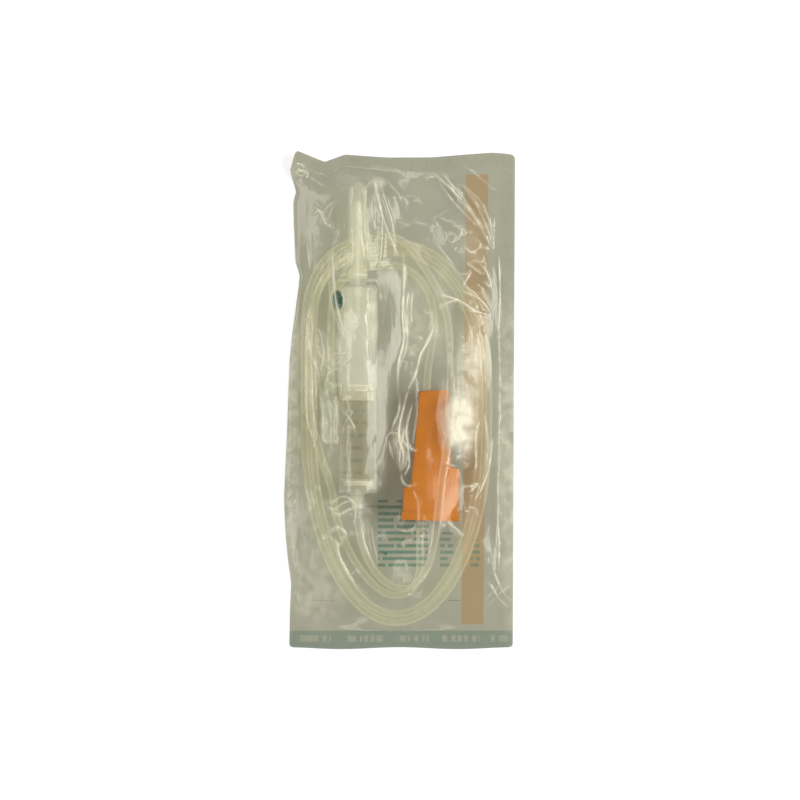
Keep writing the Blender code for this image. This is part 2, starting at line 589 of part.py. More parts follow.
def spike_housing():
    """The spike, finger flange and rigid upper chamber, moulded in one, with the vent on its side."""
    inner = CHAMBER_RADIUS - HOUSING_WALL
    spigot = SLEEVE_INNER - SEAT_GAP
    spigot_inner = spigot - HOUSING_WALL
    flange = HOUSING_LENGTH + FLANGE_STANDOFF
    neck_end = flange + FLANGE_THICKNESS + COLLAR_LENGTH
    tip = flange + FLANGE_THICKNESS + SPIKE_LENGTH
    boss = DROP_TUBE_RADIUS + SEAT_GAP + DROP_BOSS_WALL
    deck = HOUSING_LENGTH - HOUSING_WALL
    socket = DROP_TUBE_RADIUS + SEAT_GAP
    profile = [
        (0, tip),
        (SPIKE_RADIUS * 0.55, tip),
        (SPIKE_RADIUS, tip - SPIKE_BEVEL),
        (SPIKE_RADIUS, neck_end),
        (NECK_RADIUS - 0.0004, neck_end),
        (NECK_RADIUS, neck_end - 0.0008),
        (NECK_RADIUS, HOUSING_LENGTH),
        (CHAMBER_RADIUS - HOUSING_SHOULDER, HOUSING_LENGTH),
        (CHAMBER_RADIUS - HOUSING_SHOULDER * 0.3, HOUSING_LENGTH - HOUSING_SHOULDER * 0.3),
        (CHAMBER_RADIUS, HOUSING_LENGTH - HOUSING_SHOULDER),
        (CHAMBER_RADIUS, 0),
        (spigot, 0),
        (spigot, -SPIGOT_LENGTH),
        (spigot_inner, -SPIGOT_LENGTH),
        (spigot_inner, RIM_HEIGHT),
        (inner, RIM_HEIGHT * 2),
        (inner, deck - HOUSING_SHOULDER),
        (inner - HOUSING_SHOULDER, deck),
        (boss, deck),
        (boss, deck - DROP_TUBE_SEAT),
        (socket, deck - DROP_TUBE_SEAT),
        (socket, deck),
        (0, deck),
    ]
    finish = material("rigid clear plastic", (0.80, 0.81, 0.76), 0.15, alpha=0.4)
    made = finish_object("spike_housing", turned(profile, 28), finish)
    along_y(made, CHAMBER_X, CHAMBER_JOINT_Y, CHAMBER_Z)

    reach = WING_REACH - WING_HALF_DEPTH
    wings = slot_outline((-reach, 0), (reach, 0), WING_HALF_DEPTH, 8)
    wing_tool = cutter("finger_wings", extruded(wings, flange, flange + FLANGE_THICKNESS))
    along_y(wing_tool, CHAMBER_X, CHAMBER_JOINT_Y, CHAMBER_Z)
    bore_tool = cutter("spike_bore", extruded(circle(SPIKE_BORE_RADIUS, 12), deck - 0.002, tip))
    along_y(bore_tool, CHAMBER_X, CHAMBER_JOINT_Y, CHAMBER_Z)
    combine(made, wing_tool, "UNION")
    combine(made, bore_tool, "DIFFERENCE")

    direction = Vector((-math.cos(VENT_TURN), 0, math.sin(VENT_TURN)))
    centre = Vector((CHAMBER_X, DECK_Y - VENT_DROP, CHAMBER_Z))
    facing = Matrix.Translation(centre) @ direction.to_track_quat("Z", "Y").to_matrix().to_4x4()
    boss_tool = cutter("vent_boss", extruded(circle(VENT_RADIUS, 24), inner + 0.0004, VENT_REACH))
    recess_tool = cutter(
        "vent_recess",
        extruded(circle(VENT_RECESS_RADIUS, 24), VENT_REACH - VENT_RECESS_DEPTH, VENT_REACH + 0.003),
    )
    hole_tool = cutter("vent_hole", extruded(circle(VENT_HOLE_RADIUS, 10), inner - 0.002, VENT_REACH))
    for tool, operation in ((boss_tool, "UNION"), (recess_tool, "DIFFERENCE"), (hole_tool, "DIFFERENCE")):
        tool.matrix_world = facing
        combine(made, tool, operation)

    bevel_size = 4 * SPIKE_RADIUS
    square = [(-bevel_size, -bevel_size), (bevel_size, -bevel_size), (bevel_size, bevel_size)]
    square.append((-bevel_size, bevel_size))
    bevel_tool = cutter("spike_point", extruded(square, 0, bevel_size))
    point = Vector((CHAMBER_X, CHAMBER_JOINT_Y + tip - SPIKE_BEVEL * 0.45, CHAMBER_Z))
    bevel_tool.matrix_world = Matrix.Translation(point) @ Matrix.Rotation(math.radians(-62), 4, "X")
    combine(made, bevel_tool, "DIFFERENCE")
    air_outline = circle(AIR_BORE_RADIUS, 8, (0, 0.0019))
    air_tool = cutter("air_channel", extruded(air_outline, neck_end - 0.004, tip))
    along_y(air_tool, CHAMBER_X, CHAMBER_JOINT_Y, CHAMBER_Z)
    combine(made, air_tool, "DIFFERENCE")

    filter_low = VENT_REACH - VENT_RECESS_DEPTH + SEAT_GAP
    disc = finish_object(
        "vent_filter",
        extruded(circle(VENT_RECESS_RADIUS - SEAT_GAP, 24), filter_low, filter_low + VENT_FILTER_THICKNESS),
        material("filter membrane", (0.86, 0.86, 0.84), 0.8),
    )
    disc.matrix_world = facing
    seat = VENT_REACH + SEAT_GAP
    plug = VENT_RECESS_RADIUS - SEAT_GAP
    outer = VENT_RADIUS - VENT_CAP_OVERLAP
    lid = [
        (0, seat - VENT_PLUG_DEPTH), (plug, seat - VENT_PLUG_DEPTH), (plug, seat), (outer, seat),
        (outer, seat + VENT_CAP_THICKNESS * 0.6), (outer - 0.0006, seat + VENT_CAP_THICKNESS),
        (0, seat + VENT_CAP_THICKNESS),
    ]
    vent_cap = finish_object("vent_cap", turned(lid, 24), material("teal plastic", (0.03, 0.20, 0.16), 0.4))
    vent_cap.matrix_world = facing


def spike_cap():
    """The clear cap over the spike: a thin tapered tube with a closed round tip."""
    straight = CAP_LENGTH - CAP_TIP_RADIUS
    tip_inner = CAP_TIP_RADIUS - CAP_WALL
    profile = [(CAP_MOUTH_RADIUS - CAP_WALL, 0), (CAP_MOUTH_RADIUS + CAP_BEAD, 0)]
    profile += [(CAP_MOUTH_RADIUS + CAP_BEAD, 0.0016), (CAP_MOUTH_RADIUS, 0.0024)]
    quarter = [math.radians(a) for a in (0, 25, 50, 72)]
    profile += [(CAP_TIP_RADIUS * math.cos(a), straight + CAP_TIP_RADIUS * math.sin(a)) for a in quarter]
    profile += [(0, CAP_LENGTH), (0, CAP_LENGTH - CAP_WALL)]
    profile += [(tip_inner * math.cos(a), straight + tip_inner * math.sin(a)) for a in reversed(quarter)]
    finish = material("clear cap plastic", (0.84, 0.85, 0.80), 0.15, alpha=0.35)
    made = finish_object("spike_cap", turned(profile, 24), finish)
    along_y(made, CHAMBER_X, CAP_MOUTH_Y, CHAMBER_Z)


def drop_tube():
    """The insert that the drops form on, seated in the housing's boss."""
    end = HOUSING_LENGTH - HOUSING_WALL - SEAT_GAP
    profile = [
        (DROP_TUBE_BORE, end - DROP_TUBE_LENGTH),
        (DROP_TUBE_RADIUS * 0.75, end - DROP_TUBE_LENGTH),
        (DROP_TUBE_RADIUS, end - DROP_TUBE_LENGTH + 0.0010),
        (DROP_TUBE_RADIUS, end),
        (DROP_TUBE_BORE, end),
    ]
    made = finish_object("drop_tube", turned(profile, 14), material("drop insert", (0.75, 0.76, 0.72), 0.3))
    along_y(made, CHAMBER_X, CHAMBER_JOINT_Y, CHAMBER_Z)


def chamber_sleeve():
    """The soft lower chamber, pushed over the housing's spigot and the base's plug."""
    bead = 0.0003
    profile = [
        (SLEEVE_INNER, 0), (CHAMBER_RADIUS, 0), (CHAMBER_RADIUS, 0.0014), (CHAMBER_RADIUS - bead, 0.0020),
        (CHAMBER_RADIUS - bead, SLEEVE_LENGTH - 0.0020), (CHAMBER_RADIUS, SLEEVE_LENGTH - 0.0014),
        (CHAMBER_RADIUS, SLEEVE_LENGTH), (SLEEVE_INNER, SLEEVE_LENGTH),
    ]
    finish = material("soft clear plastic", (0.80, 0.81, 0.74), 0.2, alpha=0.35)
    made = finish_object("chamber_sleeve", turned(profile, 28), finish)
    along_y(made, CHAMBER_X, SLEEVE_END_Y, CHAMBER_Z)


def chamber_base():
    """The funnel that closes the chamber, with the fluid filter on its ledge."""
    plug = SLEEVE_INNER - SEAT_GAP
    cup = plug - BASE_CUP_WALL
    ledge = cup - 0.0012
    rim = CHAMBER_RADIUS - 0.0003
    top = BASE_PLUG_LENGTH + SEAT_GAP
    ledge_height = top - FILTER_LEDGE_DEPTH
    bottom = -BASE_RIM_THICKNESS - NOZZLE_LENGTH
    socket_top = bottom + SOCKET_DEPTH
    profile = [
        (cup, top), (plug, top), (plug, 0), (rim, 0), (rim, -BASE_RIM_THICKNESS),
        (NOZZLE_RADIUS + 0.0016, -BASE_RIM_THICKNESS), (NOZZLE_RADIUS, -BASE_RIM_THICKNESS - 0.0016),
        (NOZZLE_RADIUS, bottom), (SOCKET_RADIUS, bottom), (SOCKET_RADIUS, socket_top),
        (TUBE_BORE / 2, socket_top), (TUBE_BORE / 2, ledge_height - FUNNEL_DEPTH + 0.0010),
        (FUNNEL_RADIUS, ledge_height), (ledge, ledge_height), (cup, ledge_height),
    ]
    finish = material("base plastic", (0.78, 0.79, 0.73), 0.2, alpha=0.45)
    made = finish_object("chamber_base", turned(profile, 28), finish)
    along_y(made, CHAMBER_X, SLEEVE_END_Y - SEAT_GAP, CHAMBER_Z)

    low = ledge_height + SEAT_GAP
    disc = finish_object(
        "fluid_filter",
        extruded(circle(cup - SEAT_GAP, 28), low, low + FILTER_THICKNESS),
        material("filter mesh", (0.82, 0.82, 0.76), 0.7),
    )
    along_y(disc, CHAMBER_X, SLEEVE_END_Y - SEAT_GAP, CHAMBER_Z)
    ring_low = low + FILTER_THICKNESS + SEAT_GAP
    ring_outer = cup - SEAT_GAP
    ring = finish_object(
        "filter_ring",
        turned(
            [
                (ring_outer - FILTER_RING_WALL, ring_low), (ring_outer, ring_low),
                (ring_outer, ring_low + FILTER_RING_HEIGHT),
                (ring_outer - FILTER_RING_WALL * 0.6, ring_low + FILTER_RING_HEIGHT),
            ],
            28,
        ),
        material("ring plastic", (0.80, 0.80, 0.76), 0.3),
    )
    along_y(ring, CHAMBER_X, SLEEVE_END_Y - SEAT_GAP, CHAMBER_Z)


# The roller clamp, in its own frame: X across from the floor to the open side, Y along, Z depth


def clamp_half(y):
    """Half the side wall's width at a height above the rim: the body tapers to its narrow end."""
    share = (CLAMP_LENGTH - y) / (CLAMP_LENGTH - RIGHT_SHOULDER)
    return CLAMP_TOP_HALF + (CLAMP_WAIST_HALF - CLAMP_TOP_HALF) * share


def floor_face(y):
    """The inner face of the floor that the roller presses the tube against."""
    return -clamp_half(y) + CLAMP_FLOOR


def roller_rest():
    """The roller's centre at rest: it clears the tube on the floor."""
    across = floor_face(ROLLER_PLACE) + SEAT_GAP + TUBE_DIAMETER + SEAT_GAP + ROLLER_RADIUS
    return across, ROLLER_PLACE


def roller_closed():
    """The roller's centre at the end of its grooves, where it shuts the tube."""
    x, y = roller_rest()
    return x - ROLLER_TRAVEL * math.sin(GROOVE_SLOPE), y + ROLLER_TRAVEL * math.cos(GROOVE_SLOPE)


def clamp_frame():
    """From the clamp's own frame to the pouch's."""
    return Matrix.Translation((CLAMP_X, CLAMP_Y, CLAMP_Z)) @ Matrix.Rotation(CLAMP_TURN, 4, "Z")


def clamp_body():
    """One orange moulding: a tapered channel, a duct for the tube and a parking hole for the spike."""
    outline = [
        (-CLAMP_BASE_HALF, 0), (CLAMP_BASE_HALF, 0),
        (CLAMP_BASE_HALF, RIGHT_SHOULDER - SHOULDER_SLOPE * 0.4),
        (clamp_half(RIGHT_SHOULDER), RIGHT_SHOULDER), (CLAMP_TOP_HALF + 0.0006, CLAMP_LENGTH - 0.0012),
        (CLAMP_TOP_HALF, CLAMP_LENGTH), (-CLAMP_TOP_HALF, CLAMP_LENGTH - 0.0012),
        (-clamp_half(LEFT_SHOULDER), LEFT_SHOULDER), (-CLAMP_BASE_HALF, LEFT_SHOULDER - SHOULDER_SLOPE),
    ]
    made = finish_object(
        "clamp_body",
        extruded(outline, -CLAMP_DEPTH / 2, CLAMP_DEPTH / 2),
        material("orange plastic", (0.55, 0.19, 0.02), 0.38),
    )
    made.matrix_world = clamp_frame()
    fillet = made.modifiers.new("fillet", "BEVEL")
    fillet.width = CLAMP_FILLET
    fillet.segments = 1
    fillet.angle_limit = math.radians(50)

    rim = [
        (-CLAMP_RIM_HALF, 0), (CLAMP_RIM_HALF, 0), (CLAMP_RIM_HALF, CLAMP_RIM_HEIGHT),
        (-CLAMP_RIM_HALF, CLAMP_RIM_HEIGHT),
    ]
    channel = [
        (floor_face(CHANNEL_START), CHANNEL_START), (0.03, CHANNEL_START), (0.03, CLAMP_LENGTH + 0.01),
        (floor_face(CLAMP_LENGTH + 0.01), CLAMP_LENGTH + 0.01),
    ]
    duct_low = floor_face(CHANNEL_START)
    duct = [
        (duct_low, -0.002), (duct_low + DUCT_WIDTH, -0.002), (duct_low + DUCT_WIDTH, CHANNEL_START + 0.001),
        (duct_low, CHANNEL_START + 0.001),
    ]
    pocket_left = -CLAMP_BASE_HALF + CLAMP_WALL
    pocket_right = duct_low - CLAMP_WALL
    pocket = [
        (pocket_left, -0.002), (pocket_right, -0.002), (pocket_right, FOOT_POCKET_DEPTH),
        (pocket_left, FOOT_POCKET_DEPTH),
    ]
    groove = slot_outline(roller_rest(), roller_closed(), TRUNNION_RADIUS + SLIDE_GAP)
    groove_reach = CHANNEL_HALF + TRUNNION_DEPTH + SLIDE_GAP
    parking_x = CLAMP_BASE_HALF - PARKING_WALL - PARKING_RADIUS
    parking_tool = cutter("parking_hole", extruded(circle(PARKING_RADIUS, 24), -0.002, PARKING_DEPTH))
    tools = [
        (cutter("clamp_rim", extruded(rim, -CLAMP_RIM_DEPTH / 2, CLAMP_RIM_DEPTH / 2)), "UNION"),
        (cutter("channel_space", extruded(channel, -CHANNEL_HALF, CHANNEL_HALF)), "DIFFERENCE"),
        (cutter("tube_duct", extruded(duct, -DUCT_HEIGHT / 2, DUCT_HEIGHT / 2)), "DIFFERENCE"),
        (cutter("foot_pocket", extruded(pocket, -CHANNEL_HALF, CHANNEL_HALF)), "DIFFERENCE"),
        (parking_tool, "DIFFERENCE"),
        (cutter("trunnion_groove", extruded(groove, -groove_reach, groove_reach)), "DIFFERENCE"),
    ]
    for tool, operation in tools:
        tool.matrix_world = clamp_frame()
        combine(made, tool, operation)
    upright = Matrix.Translation((parking_x, 0, 0)) @ Matrix.Rotation(-math.pi / 2, 4, "X")
    parking_tool.matrix_world = clamp_frame() @ upright


def clamp_roller():
    """The toothed wheel, with a recessed hub on each side and trunnions that run in the grooves."""
    half = CHANNEL_HALF - SLIDE_GAP * 2
    tooth_count = 2 * ROLLER_TEETH
    turns = [2 * math.pi * k / tooth_count for k in range(tooth_count)]
    rims = [ROLLER_RADIUS if k % 2 else ROLLER_RADIUS - ROLLER_TOOTH for k in range(tooth_count)]
    bm = bmesh.new()

    def ring(radii, z):
        return [bm.verts.new((r * math.cos(t), r * math.sin(t), z)) for r, t in zip(radii, turns)]

    def bridge(a, b):
        for k in range(tooth_count):
            n = (k + 1) % tooth_count
            bm.faces.new((a[k], a[n], b[n], b[k]))

    inner = [ROLLER_RADIUS - ROLLER_RIM] * tooth_count
    hub = [ROLLER_HUB] * tooth_count
    pin = [TRUNNION_RADIUS] * tooth_count
    stations = [
        (pin, half + TRUNNION_DEPTH), (pin, half), (hub, half), (hub, half - ROLLER_RECESS),
        (inner, half - ROLLER_RECESS), (inner, half), (rims, half),
    ]
    stations += [(radii, -z) for radii, z in reversed(stations)]
    rings = [ring(radii, z) for radii, z in stations]
    for a, b in zip(rings, rings[1:]):
        bridge(a, b)
    bm.faces.new(rings[0])
    bm.faces.new(rings[-1])
    made = finish_object("clamp_roller", bm, material("white plastic", (0.80, 0.80, 0.77), 0.35))
    x, y = roller_rest()
    made.matrix_world = clamp_frame() @ Matrix.Translation((x, y, 0))


# The connector


def connector():
    """The male connector, its lock collar and its vented cap, in line along -Y."""
    socket = SOCKET_RADIUS
    flange_start = HUB_LENGTH - HUB_FLANGE
    collar_start = HUB_LENGTH + SEAT_GAP
    neck_end = collar_start + LUER_COLLAR_FLOOR + SEAT_GAP
    taper_end = neck_end + TAPER_LENGTH
    hub = [
        (socket, 0), (HUB_RADIUS, 0), (HUB_RADIUS, flange_start), (HUB_FLANGE_RADIUS, flange_start),
        (HUB_FLANGE_RADIUS, HUB_LENGTH), (HUB_NECK_RADIUS + 0.0004, HUB_LENGTH),
        (HUB_NECK_RADIUS + 0.0004, neck_end), (TAPER_BASE_RADIUS, neck_end),
        (TAPER_TIP_RADIUS, taper_end), (TAPER_BORE_RADIUS, taper_end), (TAPER_BORE_RADIUS, SOCKET_DEPTH),
        (socket, SOCKET_DEPTH),
    ]
    finish = material("connector plastic", (0.82, 0.83, 0.78), 0.2, 0.5)
    made = finish_object("luer_connector", turned(hub, 20), finish)
    along_minus_y(made, LUER_X, LUER_Y, LUER_Z)

    hole = HUB_NECK_RADIUS + 0.0004 + SEAT_GAP
    collar_end = collar_start + LUER_COLLAR_LENGTH
    collar_inner = LUER_COLLAR_RADIUS - COLLAR_RIB - LUER_COLLAR_WALL
    bm = bmesh.new()
    count = 4 * COLLAR_RIB_COUNT
    turns = [2 * math.pi * (k + 0.5) / count for k in range(count)]
    ribbed = [LUER_COLLAR_RADIUS - (0 if k % 4 in (0, 1) else COLLAR_RIB) for k in range(count)]
    stations = [
        ([hole] * count, collar_start), (ribbed, collar_start), (ribbed, collar_end),
        ([collar_inner] * count, collar_end), ([collar_inner] * count, collar_start + LUER_COLLAR_FLOOR),
        ([hole] * count, collar_start + LUER_COLLAR_FLOOR),
    ]
    rings = [[bm.verts.new((r * math.cos(t), r * math.sin(t), z)) for r, t in zip(radii, turns)]
             for radii, z in stations]
    for a, b in zip(rings, rings[1:] + rings[:1]):
        for k in range(count):
            n = (k + 1) % count
            bm.faces.new((a[k], a[n], b[n], b[k]))
    made = finish_object("luer_collar", bm, material("collar plastic", (0.84, 0.85, 0.82), 0.25, 0.6))
    along_minus_y(made, LUER_X, LUER_Y, LUER_Z)

    cap_start = collar_end + SEAT_GAP
    skirt_outer = collar_inner - SEAT_GAP
    bore = TAPER_BASE_RADIUS + SEAT_GAP
    ring_start = cap_start + LUER_CAP_LENGTH - LUER_CAP_END_RING
    end = cap_start + LUER_CAP_LENGTH
    chamber = LUER_CAP_RADIUS - LUER_CAP_WALL
    seat = end - MEMBRANE_SEAT
    cap = [
        (bore, cap_start - LUER_CAP_SKIRT), (skirt_outer, cap_start - LUER_CAP_SKIRT),
        (skirt_outer, cap_start),
        (LUER_COLLAR_RADIUS, cap_start), (LUER_COLLAR_RADIUS, cap_start + LUER_CAP_FLANGE),
        (LUER_CAP_RADIUS, cap_start + LUER_CAP_FLANGE), (LUER_CAP_RADIUS, ring_start),
        (LUER_CAP_END_RADIUS, ring_start), (LUER_CAP_END_RADIUS, end - 0.0006),
        (LUER_CAP_END_RADIUS - 0.0006, end),
        (chamber, end), (chamber, seat), (TAPER_BORE_RADIUS, seat), (TAPER_BORE_RADIUS, ring_start),
        (bore, ring_start),
    ]
    made = finish_object("luer_cap", turned(cap, 20), material("cap plastic", (0.80, 0.81, 0.76), 0.3, 0.6))
    along_minus_y(made, LUER_X, LUER_Y, LUER_Z)
    disc = finish_object(
        "cap_membrane",
        extruded(circle(chamber - SEAT_GAP, 20), seat + SEAT_GAP, seat + SEAT_GAP + MEMBRANE_THICKNESS),
        material("vent membrane", (0.88, 0.88, 0.86), 0.8),
    )
    along_minus_y(disc, LUER_X, LUER_Y, LUER_Z)


# The tube


def smooth_line(points, spacing):
    """Points at even steps along a smooth curve through hand-chosen places."""
    knots = [np.array(p, float) for p in points]
    knots = [2 * knots[0] - knots[1]] + knots + [2 * knots[-1] - knots[-2]]
    fine = []
    for a, b, c, d in zip(knots, knots[1:], knots[2:], knots[3:]):
        for t in np.linspace(0, 1, 12, endpoint=False):
            bend = (2 * a - 5 * b + 4 * c - d) * t**2 + (3 * b - a - 3 * c + d) * t**3
            fine.append(0.5 * (2 * b + (c - a) * t + bend))
    fine.append(knots[-2])
    fine = np.array(fine)
    steps = np.linalg.norm(np.diff(fine, axis=0), axis=1)
    reached = np.concatenate([[0], np.cumsum(steps)])
    count = max(2, round(reached[-1] / spacing) + 1)
    wanted = np.linspace(0, reached[-1], count)
    along = [np.interp(wanted, reached, fine[:, k]) for k in range(3)]
    return list(zip(*along))


def tube(name, run, finish, before=(), after=()):
    """A round tube along hand-chosen places, with a straight stretch before or after them."""
    line = [*before, *smooth_line(run, TUBE_POINT_SPACING), *after]
    curve = bpy.data.curves.new(name, "CURVE")
    curve.dimensions = "3D"
    curve.bevel_depth = TUBE_RADIUS
    curve.bevel_resolution = 2
    curve.use_fill_caps = True
    spline = curve.splines.new("POLY")
    spline.points.add(len(line) - 1)
    for point, place in zip(spline.points, line):
        point.co = (*place, 1)
    curve.materials.append(finish)
    made = bpy.data.objects.new(name, curve)
    bpy.context.scene.collection.objects.link(made)
    return made


def oval(inset_left, inset_right, inset_top, inset_bottom):
    """A loop with straight sides and rounded ends, inset from the coil's outside."""
    left, right = COIL_LEFT + inset_left, COIL_RIGHT - inset_right
    top, bottom = COIL_TOP - inset_top, COIL_BOTTOM + inset_bottom
    middle, half = (left + right) / 2, (right - left) / 2
    points = []
    for corner, (side, end, start, squareness) in enumerate(COIL_CORNERS):
        reach = abs((top if end > 0 else bottom) - start)
        # Every other corner is walked from its end to its side, so that the loop runs one way round.
        steps = list(range(COIL_CORNER_POINTS + 1))
        if corner % 2:
            steps.reverse()
        for k in steps:
            turn = math.pi / 2 * k / COIL_CORNER_POINTS
            across = half * max(math.cos(turn), 0.0) ** (2 / squareness)
            along = reach * math.sin(turn) ** (2 / squareness)
            points.append((middle + side * across, start + end * along))
    return list(dict.fromkeys((round(x, 7), round(y, 7)) for x, y in points))


def tube_coil(finish):
    """The outer shape of the coiled turns: an oval band, one turn high, with eased corners."""
    ease = TUBE_RADIUS * 0.45
    stations = [
        (0, ease), (0, TUBE_DIAMETER - ease), (ease, TUBE_DIAMETER), (1, TUBE_DIAMETER),
        (2, TUBE_DIAMETER - ease), (2, ease), (1, 0), (ease, 0),
    ]
    bm = bmesh.new()
    rings = []
    for inset, height in stations:
        widths = [COIL_LEFT_WIDTH, COIL_SIDE_WIDTH, COIL_TOP_WIDTH, COIL_SIDE_WIDTH]
        if inset == 1:
            widths = [width - ease for width in widths]
        elif inset != 2:
            widths = [inset] * 4
        rings.append([bm.verts.new((x, y, LAY_Z + height)) for x, y in oval(*widths)])
    count = len(rings[0])
    for a, b in zip(rings, rings[1:] + rings[:1]):
        for k in range(count):
            n = (k + 1) % count
            bm.faces.new((a[k], a[n], b[n], b[k]))
    return finish_object("tube_coil", bm, finish)


def clamp_tube_places():
    """Where the tube's middle runs inside the clamp, from below its duct to above its channel."""
    stand_off = SEAT_GAP + TUBE_RADIUS
    duct_x = floor_face(CHANNEL_START) + DUCT_WIDTH / 2
    local = [(duct_x, -0.0012), (duct_x, CHANNEL_START * 0.35)]
    local += [(floor_face(CHANNEL_START) + stand_off + 0.0002, CHANNEL_START + 0.004)]
    local += [(floor_face(y) + stand_off, y) for y in (0.0450, 0.0560)]
    local += [(floor_face(CLAMP_LENGTH) + stand_off, CLAMP_LENGTH + 0.0012)]
    return [tuple(clamp_frame() @ Vector((x, y, 0))) for x, y in local]


def infusion_tube():
    """The tube, in the stretches that lie free, the coil and the stretch inside the clamp."""
    finish = material("tube plastic", (0.72, 0.72, 0.60), 0.2, alpha=0.45)
    tube_coil(finish)
    socket_y = NOZZLE_END_Y + SOCKET_DEPTH - SEAT_GAP
    leaves = [(CHAMBER_X, NOZZLE_END_Y - 0.0005, CHAMBER_Z)]
    tube("tube_from_chamber", leaves + RUN_FROM_CHAMBER, finish, before=[(CHAMBER_X, socket_y, CHAMBER_Z)])
    held = clamp_tube_places()
    below = Vector(held[0]) + (Vector(held[0]) - Vector(held[1])).normalized() * SEAT_GAP
    above = Vector(held[-1]) + (Vector(held[-1]) - Vector(held[-2])).normalized() * SEAT_GAP
    tube("tube_to_clamp", RUN_TO_CLAMP + [tuple(below)], finish)
    tube("tube_in_clamp", held, finish)
    in_socket = LUER_Y - SOCKET_DEPTH + SEAT_GAP
    places = [tuple(above)] + RUN_TO_CONNECTOR + [(LUER_X, LUER_Y + 0.0005, LUER_Z)]
    tube("tube_to_connector", places, finish, after=[(LUER_X, in_socket, LUER_Z)])


def main():
    for old in list(bpy.data.objects):
        bpy.data.objects.remove(old)
    pouch()
    spike_housing()
    spike_cap()
    drop_tube()
    chamber_sleeve()
    chamber_base()
    clamp_body()
    clamp_roller()
    connector()
    infusion_tube()


main()
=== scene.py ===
"""An infusion set sealed in its peel pouch: its looks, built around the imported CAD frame.

Metres, +Z out of the clear film, +Y towards the end with the spike. The pouch lies on the floor.
"""

import math

import bmesh
import bpy
import numpy as np
from bpy.props import FloatProperty, FloatVectorProperty, IntProperty, PointerProperty
from mathutils import Matrix, Vector
from mathutils.bvhtree import BVHTree
from mathutils.geometry import delaunay_2d_cdt


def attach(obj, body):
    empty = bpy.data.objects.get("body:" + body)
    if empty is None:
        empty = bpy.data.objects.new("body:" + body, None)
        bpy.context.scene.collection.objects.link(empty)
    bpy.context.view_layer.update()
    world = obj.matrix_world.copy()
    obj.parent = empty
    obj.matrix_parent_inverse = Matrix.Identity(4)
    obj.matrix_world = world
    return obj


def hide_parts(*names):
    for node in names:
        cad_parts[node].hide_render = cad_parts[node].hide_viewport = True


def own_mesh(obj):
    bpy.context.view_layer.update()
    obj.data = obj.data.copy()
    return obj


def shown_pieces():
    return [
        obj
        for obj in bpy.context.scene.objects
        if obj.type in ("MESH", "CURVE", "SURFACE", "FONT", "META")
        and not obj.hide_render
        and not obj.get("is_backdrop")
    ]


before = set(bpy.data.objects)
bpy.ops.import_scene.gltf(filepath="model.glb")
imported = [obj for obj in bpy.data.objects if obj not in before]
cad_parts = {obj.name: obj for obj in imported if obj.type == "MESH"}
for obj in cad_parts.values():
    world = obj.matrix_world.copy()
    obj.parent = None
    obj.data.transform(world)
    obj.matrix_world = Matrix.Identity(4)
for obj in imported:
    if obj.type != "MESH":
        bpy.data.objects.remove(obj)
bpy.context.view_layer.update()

bl_info = {
    "name": "Infusion set in a peel pouch",
    "version": (1, 0, 0),
    "blender": (4, 5, 0),
    "location": "3D View > Sidebar > Infusion set",
    "description": "Builds a sealed peel pouch with a coiled infusion set in it",
    "category": "Add Mesh",
}

# The pouch, as the part's source has it.
POUCH_WIDTH = 0.1224
POUCH_LENGTH = 0.2640
WEB_THICKNESS = 0.0002
FILM_THICKNESS = 0.00015
SEAT_GAP = 0.0003
SEAL_LEFT = 0.0021
SEAL_RIGHT = 0.0080
SEAL_TOP = 0.0075
SEAL_BOTTOM = 0.0095
SEAL_MARGIN = 0.0008
CORNER_RADIUS = 0.0018
CORNER_LIFT = 0.0080
CORNER_FOLD = 0.0230
LAY_Z = WEB_THICKNESS + SEAT_GAP

# The tube, and how far apart the places along its free stretches are.
TUBE_DIAMETER = 0.0041
TUBE_BORE = 0.0030
TUBE_STEP = 0.0035

# The coil's outside, and its corners: side, end, where the straight stops, squareness.
COIL_LEFT = -0.0522
COIL_RIGHT = 0.0490
COIL_TOP = 0.0890
COIL_BOTTOM = -0.1198
COIL_MIDDLE = (COIL_LEFT + COIL_RIGHT) / 2
COIL_CORNERS = {
    "top right": (1, 1, 0.0150, 2.0),
    "top left": (-1, 1, 0.0318, 2.7),
    "bottom left": (-1, -1, -0.0175, 2.0),
    "bottom right": (1, -1, -0.0175, 2.0),
}

# The chamber's and the connector's axes, and the ends that the tube is pushed into.
CHAMBER_AXIS = (-0.0220, 0.01075)
NOZZLE_END_Y = -0.0570
VENT_SPOT = (-0.0330, 0.0528, 0.0)
VENT_REACH = (0.0038, 0.0066, 1.0)
LUER_AXIS = (-0.0363, 0.0050)
LUER_Y = 0.0095
SOCKET_DEPTH = 0.0060

# The clamp lies on its side. In its own frame X runs across, from its floor to its open side.
CLAMP_FRAME = Matrix.Translation((0.0162, -0.0633, 0.0085)) @ Matrix.Rotation(math.radians(-1.5), 4, "Z")
CLAMP_LENGTH = 0.0690
CLAMP_TOP_HALF = 0.0075
CLAMP_WAIST_HALF = 0.0100
CLAMP_SHOULDER = 0.0282
CLAMP_FLOOR = 0.0015
CHANNEL_START = 0.0305
DUCT_WIDTH = 0.0054
ROLLER_PLACE = 0.0450
ROLLER_RADIUS = 0.0075

# Where the tube is cut into short parts, in the clamp's upper end, and what is left free above them.
PINCH_START = 0.0545
PINCH_END = CLAMP_LENGTH

WHEEL_HALF = 0.0042
WHEEL_EDGE = 0.0003
WHEEL_BREAK = 0.0002
WHEEL_TOOTH = 0.0004
WHEEL_RIM = 0.0018
WHEEL_HUB = 0.0026
WHEEL_RECESS = 0.0008
TRUNNION_RADIUS = 0.0012
TRUNNION_DEPTH = 0.0009

